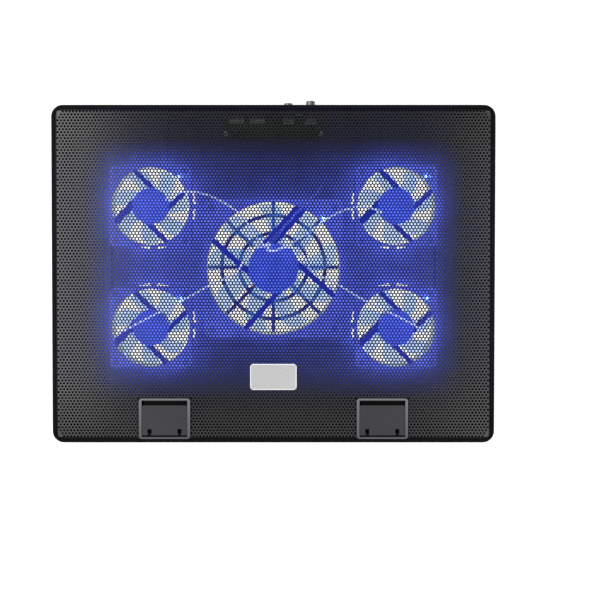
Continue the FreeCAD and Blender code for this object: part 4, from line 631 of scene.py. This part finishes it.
# ------------------------------------------------------------------ mesh helpers
def mesh_object(name, verts, faces, materials, face_materials=None):
    """An object from vertices in metres."""
    mesh = bpy.data.meshes.new(name)
    mesh.from_pydata([tuple(vert) for vert in verts], [], faces)
    for each in materials:
        mesh.materials.append(each)
    if face_materials is not None:
        mesh.polygons.foreach_set("material_index", np.array(face_materials, np.int32))
    mesh.update()
    made = bpy.data.objects.new(name, mesh)
    scene.collection.objects.link(made)
    return made


def circle(x, y, radius, count):
    angles = [math.radians(360 / count * k) for k in range(count)]
    return [(x + radius * math.cos(angle), y + radius * math.sin(angle)) for angle in angles]


def closed_pairs(items):
    """Each item with the next one, and the last with the first."""
    return list(zip(items, items[1:] + items[:1]))


# ------------------------------------------------------------------ perforated sheet
TILES = 6                    # the sheet is made as strips side by side along X
TILE_EDGES = np.linspace(-SHEET_HALF_X - 1, SHEET_HALF_X + 1, TILES + 1)
MAX_COLUMN, MAX_ROW = 66, 58     # the hole lattice reaches this far from the middle
BORDER_STEP = 6.0            # least spacing of points along the outline
CORNER_STEPS = 10
CELL_MARGIN = 0.3            # from a cell to the edge of the sheet
BADGE_OVERLAP = 1.0          # how far cells may reach under the badge
STRUT_MARGIN = 0.4
UNDERSIDE_LIGHT = 0.6

# corners and edge middles of a lattice cell: x and y in thirds of the pitch
CELL_OUTLINE = [(x * PITCH / 3.0, y * PITCH / 3.0) for x, y in (
    (1.5, 0.0), (1.5, 0.8660254), (0.75, 1.2990381), (0.0, 1.7320508),
    (-0.75, 1.2990381), (-1.5, 0.8660254), (-1.5, 0.0), (-1.5, -0.8660254),
    (-0.75, -1.2990381), (0.0, -1.7320508), (0.75, -1.2990381), (1.5, -0.8660254))]


class PointPool:
    """Points in mm; places that agree to about 0.0005 mm share one number."""

    def __init__(self):
        self.numbers = {}
        self.points = []

    def add(self, x, y):
        key = (round(x * 2000), round(y * 2000))
        if key not in self.numbers:
            self.numbers[key] = len(self.points)
            self.points.append((x, y))
        return self.numbers[key]

    def add_all(self, points):
        return [self.add(x, y) for x, y in points]


def outline():
    """The edge of the sheet, anticlockwise from the left notch."""
    corners = []
    for x in (-NOTCH_X, NOTCH_X):
        left, right = x - NOTCH_HALF, x + NOTCH_HALF
        corners += [(left, -SHEET_HALF_Y), (left, NOTCH_END_Y),
                    (right, NOTCH_END_Y), (right, -SHEET_HALF_Y)]
    for side, end, start in ((1, -1, -90), (1, 1, 0), (-1, 1, 90), (-1, -1, 180)):
        x, y = side * (SHEET_HALF_X - SHEET_CORNER), end * (SHEET_HALF_Y - SHEET_CORNER)
        for i in range(CORNER_STEPS + 1):
            angle = math.radians(start + 90 * i / CORNER_STEPS)
            corners.append((x + SHEET_CORNER * math.cos(angle),
                            y + SHEET_CORNER * math.sin(angle)))
    points = []
    for a, b in closed_pairs(corners):
        steps = max(1, int(math.dist(a, b) // BORDER_STEP))
        for k in range(steps):
            points.append((a[0] + (b[0] - a[0]) * k / steps, a[1] + (b[1] - a[1]) * k / steps))
    return points


def in_sheet(x, y, inset):
    """True if the point is on the sheet, at least inset from its edges."""
    half_x, half_y, radius = SHEET_HALF_X - inset, SHEET_HALF_Y - inset, SHEET_CORNER - inset
    if abs(x) > half_x or abs(y) > half_y:
        return False
    dx, dy = abs(x) - (half_x - radius), abs(y) - (half_y - radius)
    if dx > 0 and dy > 0 and math.hypot(dx, dy) > radius:
        return False
    return not (y < NOTCH_END_Y + inset and abs(abs(x) - NOTCH_X) < NOTCH_HALF + inset)


def cell_centre(i, j):
    """Middle of a lattice cell; odd rows are shifted by half a pitch."""
    return i * PITCH + (PITCH / 2 if j % 2 else 0.0), j * ROW


def nearest_cell(x, y):
    middle = round(y / ROW)
    cells = [(round((x - cell_centre(0, j)[0]) / PITCH), j)
             for j in (middle - 1, middle, middle + 1)]
    return min(cells, key=lambda cell: math.dist((x, y), cell_centre(*cell)))


def cell_outline(x, y):
    return [(x + dx, y + dy) for dx, dy in CELL_OUTLINE]


def cell_fits(x, y):
    """True if the whole cell is on the sheet and clear of the badge."""
    for px, py in cell_outline(x, y):
        if not in_sheet(px, py, CELL_MARGIN):
            return False
        if (abs(px) < BADGE_HALF_X - BADGE_OVERLAP
                and abs(py - BADGE_Y) < BADGE_HALF_Y - BADGE_OVERLAP):
            return False
    return True


def tile_of(x):
    return int(min(TILES - 1, max(0, np.searchsorted(TILE_EDGES, x) - 1)))


def over_strut(fan, x, y):
    dx, dy = x - fan.x, y - fan.y
    for i, width in enumerate(fan.strut_widths):
        angle = math.radians(fan.strut_angle + 90 * i)
        ux, uy = math.cos(angle), math.sin(angle)
        sideways = dy * ux - dx * uy - fan.strut_offset
        if dx * ux + dy * uy > 0 and abs(sideways) < width / 2 + STRUT_MARGIN:
            return True
    return False


def web_light(x, y):
    """Painted blue light on the sheet: over a fan by what lies below, elsewhere the lamp field."""
    for fan in FANS:
        distance = math.hypot(x - fan.x, y - fan.y)
        if distance < fan.disc:
            return WEB_OVER_DISC
        if distance < fan.bore:
            return WEB_OVER_STRUT if over_strut(fan, x, y) else WEB_OVER_OPENING
    return scaled(WEB_BLUE, lamp_field_at(x, y))


def add_cells(pool, cells, tile_faces):
    """Faces between each hole and its cell; returns the edges round the perforated field."""
    edges = {}     # directed cell edges, in the order they are met
    for x, y in cells.values():
        outer = closed_pairs(pool.add_all(cell_outline(x, y)))
        inner = closed_pairs(pool.add_all(circle(x, y, HOLE_RADIUS, HOLE_SIDES)))
        for (a, b), (c, d) in zip(outer, inner):
            tile_faces[tile_of(x)].append((a, b, d, c))
            edges[a, b] = True
    return [(a, b) for a, b in edges if (b, a) not in edges]


def add_border(pool, cells, field_edges, tile_faces):
    """The plain sheet between the outline, the perforated field and the pin holes."""
    edges = closed_pairs(pool.add_all(outline())) + field_edges
    pins = [(-PIN_HOLE_X, PIN_HOLE_Y), (PIN_HOLE_X, PIN_HOLE_Y)]
    for x, y in pins:
        edges += closed_pairs(pool.add_all(circle(x, y, PIN_HOLE_RADIUS, HOLE_SIDES)))
    used = sorted({number for edge in edges for number in edge})
    local = {number: k for k, number in enumerate(used)}
    points, _, triangles, sources = delaunay_2d_cdt(
        [Vector(pool.points[number]) for number in used],
        [(local[a], local[b]) for a, b in edges], [], 0, 1e-5)[:4]
    back = [used[source[0]] if source else pool.add(point[0], point[1])
            for point, source in zip(points, sources)]
    for triangle in triangles:
        ids = [back[k] for k in triangle]
        (ax, ay), (bx, by), (cx, cy) = (pool.points[number] for number in ids)
        x, y = (ax + bx + cx) / 3, (ay + by + cy) / 3
        if not in_sheet(x, y, 0.0) or nearest_cell(x, y) in cells:
            continue
        # the pin rings are polygons, so their inside is tested a little smaller
        if min(math.dist((x, y), pin) for pin in pins) < PIN_HOLE_RADIUS * 0.98:
            continue
        area = (bx - ax) * (cy - ay) - (by - ay) * (cx - ax)
        if abs(area) < 1e-9:
            continue
        if area < 0:
            ids.reverse()
        tile_faces[tile_of(x)].append(tuple(ids))


def sheet_tile(name, points, top, colours):
    """One strip of the sheet: top, underside and every wall between them."""
    ids = sorted({number for face in top for number in face})
    local = {number: k for k, number in enumerate(ids)}
    count = len(ids)
    verts = [(points[number][0] * MM, points[number][1] * MM, z * MM)
             for z in (SHEET_TOP, SHEET_BOTTOM) for number in ids]
    upper = [[local[number] for number in face] for face in top]
    lower = [[k + count for k in reversed(face)] for face in upper]
    edges = set()
    for face in upper:
        for edge in closed_pairs(face):
            edges.add(edge)
    walls = [[b, a, a + count, b + count] for a, b in edges if (b, a) not in edges]
    tile = mesh_object(name, verts, upper + lower + walls, [MATERIALS["sheet"]])
    light = np.array([colours[number] for number in ids], np.float32)
    rgba = np.ones((len(verts), 4), np.float32)
    rgba[:count, :3] = light
    rgba[count:, :3] = light * UNDERSIDE_LIGHT
    attribute = tile.data.attributes.new("lamp_wash", "FLOAT_COLOR", "POINT")
    attribute.data.foreach_set("color", rgba.ravel())
    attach(tile, "chassis")
    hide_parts("mesh_panel")


def perforated_sheet():
    cells = {}
    for j in range(-MAX_ROW, MAX_ROW + 1):
        for i in range(-MAX_COLUMN, MAX_COLUMN + 1):
            centre = cell_centre(i, j)
            if cell_fits(*centre):
                cells[i, j] = centre
    pool = PointPool()
    tile_faces = [[] for _ in range(TILES)]
    field_edges = add_cells(pool, cells, tile_faces)
    add_border(pool, cells, field_edges, tile_faces)
    colours = [web_light(x, y) for x, y in pool.points]
    for n, faces in enumerate(tile_faces):
        sheet_tile(f"perforated_sheet_{n + 1}", pool.points, faces, colours)


perforated_sheet()


# ------------------------------------------------------------------ impellers
SPAN_POINTS, WIDTH_POINTS = 12, 7        # grid of a blade, root to tip and across
BLADE_Z = 13.1                           # middle height of the blades
BLADE_Z_RANGE = (8.5, 17.9)
ROOT_SINK = 0.8                          # how far a blade starts inside the hub
TIP_ROUNDING = {SPAN_POINTS - 1: 1.9, SPAN_POINTS - 2: 0.5}   # cut at the corners, by row


def hub_cup(fan):
    """Vertices and faces of the cup: skirt, rim, inside, floor and rounded lower edge."""
    hub, count = fan.wheel.hub, fan.wheel.segments
    # radius, height
    profile = [
        (hub, 9.3), (hub, 18.1), (hub - 1.6, 18.1), (hub - 1.6, 10.0), (3.2, 10.0),
        (3.2, 8.3), (hub - 1.3, 8.0), (hub - 0.7, 8.15), (hub - 0.25, 8.55)]
    verts = [(x * MM, y * MM, z * MM) for radius, z in profile
             for x, y in circle(fan.x, fan.y, radius, count)]
    columns = closed_pairs(list(range(count)))
    faces = [(a * count + k, a * count + n, b * count + n, b * count + k)
             for a, b in closed_pairs(list(range(len(profile)))) for k, n in columns]
    return verts, faces


def blade_surface(fan, start):
    """Middle surface of a blade in mm, as a grid of points."""
    wheel = fan.wheel
    root = wheel.hub - ROOT_SINK
    grid = np.zeros((SPAN_POINTS, WIDTH_POINTS, 3))
    for i in range(SPAN_POINTS):
        out = i / (SPAN_POINTS - 1)
        sweep = wheel.sweep * out ** 1.35
        half_width = wheel.half_width * (0.80 + 0.42 * out)
        rise = 4.55 - 0.75 * out
        for s in range(WIDTH_POINTS):
            across = 2 * s / (WIDTH_POINTS - 1) - 1
            radius = root + (wheel.tip - root) * out
            radius -= TIP_ROUNDING.get(i, 0.0) * abs(across) ** 3
            angle = start + sweep + half_width * across / radius
            z = BLADE_Z + rise * across + 0.75 * (1 - across * across)
            grid[i, s] = (fan.x + radius * math.cos(angle), fan.y + radius * math.sin(angle), z)
    return grid


def blade_verts(fan, start):
    """Upper then lower skin, thinner towards the tip and the long edges."""
    grid = blade_surface(fan, start)
    normal = np.cross(np.gradient(grid, axis=0), np.gradient(grid, axis=1))
    normal /= np.linalg.norm(normal, axis=2, keepdims=True)
    along = np.linspace(1.3, 0.8, SPAN_POINTS)[:, None, None]
    across = np.abs(np.linspace(-1, 1, WIDTH_POINTS))[None, :, None]
    offset = normal * (along * (1 - 0.45 * across ** 2)) / 2
    skins = np.stack([grid + offset, grid - offset])
    skins[..., 2] = np.clip(skins[..., 2], *BLADE_Z_RANGE)
    return [tuple(vert) for vert in skins.reshape(-1, 3) * MM]


def blade_faces(base):
    """Faces of one blade whose vertices start at base."""
    width = WIDTH_POINTS
    lower = SPAN_POINTS * width
    tip = lower - width
    faces = []

    def face(*corners):
        faces.append(tuple(base + corner for corner in corners))

    def wall(a, b):
        face(a, lower + a, lower + b, b)

    for i in range(SPAN_POINTS - 1):
        for s in range(width - 1):
            a = i * width + s
            b, c, d = a + width, a + width + 1, a + 1
            face(a, b, c, d)
            face(lower + d, lower + c, lower + b, lower + a)
    for start in range(0, tip, width):
        wall(start, start + width)
        wall(start + 2 * width - 1, start + width - 1)
    for s in range(width - 1):
        wall(s + 1, s)
        wall(tip + s, tip + s + 1)
    return faces


def impeller(fan):
    """Moulded hub with curved clear blades."""
    verts, faces = hub_cup(fan)
    hub_faces = len(faces)
    for n in range(fan.wheel.blades):
        faces += blade_faces(len(verts))
        verts += blade_verts(fan, 2 * math.pi * n / fan.wheel.blades)
    slots = [1] * hub_faces + [0] * (len(faces) - hub_faces)
    made = mesh_object("impeller_form_" + fan.name, verts, faces,
                       [MATERIALS["blade"], MATERIALS["hub"]], slots)
    mesh = made.data
    mesh.polygons.foreach_set("use_smooth", np.ones(len(mesh.polygons), bool))
    mesh.set_sharp_from_angle(angle=math.radians(40))
    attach(made, "rotor_" + fan.name)
    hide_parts("impeller_" + fan.name)


for fan in FANS:
    impeller(fan)


# ------------------------------------------------------------------ stage
FLOOR_HALF = 4               # metres
BACKLIGHT_MARGIN = 5.0       # beyond the bore
BACKLIGHT_Z = 0.0002         # metres


def floor_white(tree):
    """White from above, clear from below."""
    colour = tree.mix(tree.ramp(tree.noise(scale=3.0)), scaled(WHITE, 0.86),
                      scaled(WHITE, 0.90))
    white = tree.principled(Base_Color=colour, Roughness=0.8, Specular_IOR_Level=0.1,
                            Emission_Color=WHITE, Emission_Strength=0.80)
    back = tree.node("NewGeometry").outputs["Backfacing"]
    return tree.mix_shader(back, white, tree.transparent())


def backlight(tree):
    """Bright only when looked at from above, so that it doesn't show from the side."""
    brightness = 1.25
    view = tree.node("NewGeometry").outputs["Incoming"]
    upward = tree.node("VectorMath", {0: view, 1: (0, 0, 1)}, operation="DOT_PRODUCT")
    level = tree.ramp(upward.outputs["Value"], over=(0.75, 0.92))
    light = tree.node("Emission", {"Color": WHITE, "Strength": tree.times(level, brightness)})
    return tree.mix_shader(level, tree.transparent(), light.outputs[0])


def floor_and_backlights():
    corners = [(x * FLOOR_HALF, y * FLOOR_HALF, 0)
               for x, y in ((-1, -1), (1, -1), (1, 1), (-1, 1))]
    mesh_object("studio_floor", corners, [(0, 1, 2, 3)],
                         [material("studio_floor_white", floor_white)])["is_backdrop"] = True
    glow = material("studio_backlight", backlight)
    for fan in FANS:
        ring = circle(fan.x, fan.y, fan.bore + BACKLIGHT_MARGIN, 64)
        disc = mesh_object("studio_backlight_" + fan.name,
                           [(x * MM, y * MM, BACKLIGHT_Z) for x, y in ring],
                           [tuple(range(len(ring)))], [glow])
        disc.visible_shadow = False
        disc.visible_diffuse = False
        disc.visible_glossy = False
        disc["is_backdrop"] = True


floor_and_backlights()


# ------------------------------------------------------------------ lights
# name, x, y, size along X, size along Y (metres), power in watts
SOFTBOXES = (
    ("softbox_left", -0.72, 0.26, 0.70, 1.26, 7.2),
    ("softbox_right", 0.76, -0.33, 0.70, 1.26, 4.4),
    ("softbox_front", 0.0, -0.66, 1.30, 0.70, 2.25),
    ("softbox_rear", 0.0, 0.62, 1.30, 0.70, 1.4),
)
SOFTBOX_Z = 1.0
LAMP_Z = 0.0235              # metres
LAMP_MARGIN = 2.0            # beyond the bore
LAMP_DIAGONAL = 0.72         # x and y of a lamp, as a share of its ring's radius


def light_object(name, kind, power, location):
    data = bpy.data.lights.new(name, kind)
    data.energy = power
    made = bpy.data.objects.new(name, data)
    made.location = location
    scene.collection.objects.link(made)
    return made


for name, x, y, size_x, size_y, power in SOFTBOXES:
    softbox = light_object(name, "AREA", power, (x, y, SOFTBOX_Z))
    softbox.data.shape = "RECTANGLE"
    softbox.data.size, softbox.data.size_y = size_x, size_y
    softbox.rotation_euler = Vector((0, 0, -1)).to_track_quat("-Z", "Y").to_euler()

for fan in FANS:
    shift = (fan.bore + LAMP_MARGIN) * LAMP_DIAGONAL
    lamp = light_object("lamp_" + fan.name, "POINT", fan.lamp_power,
                        ((fan.x + shift) * MM, (fan.y + shift) * MM, LAMP_Z))
    lamp.data.color = (0.12, 0.25, 1.0)
    lamp.data.shadow_soft_size = 0.0015
    lamp.visible_camera = False


# ------------------------------------------------------------------ world, camera, output
def studio_world():
    """White to the camera; for other rays dim overhead and brighter near the horizon."""
    world = bpy.data.worlds.new("studio_world")
    world.use_nodes = True
    tree = Graph(world.node_tree)
    height = tree.split(tree.node("TexCoord").outputs["Generated"])[2]
    level = tree.ramp(height, over=(0.15, 0.95), to=(0.40, 0.03), curve="SMOOTHSTEP")
    seen = tree.node("LightPath").outputs["Is Camera Ray"]
    level = tree.node("Mix", {0: seen, 2: level, 3: 1.0}, data_type="FLOAT").outputs[0]
    sky = tree.node("Background", {"Color": (0.97, 0.98, 1.0), "Strength": level})
    tree.node("OutputWorld", {"Surface": sky.outputs[0]})
    scene.world = world


def overhead_camera():
    data = bpy.data.cameras.new("camera")
    data.sensor_width = 36.0
    data.lens = 45.66
    data.shift_x = 0.04433
    data.shift_y = -0.0985
    data.clip_start = 0.02
    camera = bpy.data.objects.new("camera", data)
    camera.location = (0.0, 0.040, 0.678)
    camera.rotation_euler = (math.radians(-1.0), 0.0, 0.0)
    scene.collection.objects.link(camera)
    scene.camera = camera


studio_world()
overhead_camera()
scene.view_settings.view_transform = "Standard"
scene.view_settings.look = "None"
scene.view_settings.exposure = 0.0
scene.view_settings.gamma = 1.0


def plain(box):
    return [[float(value) for value in corner] for corner in box]


{"cad": plain(CAD_BOX), "visual": plain(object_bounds())}
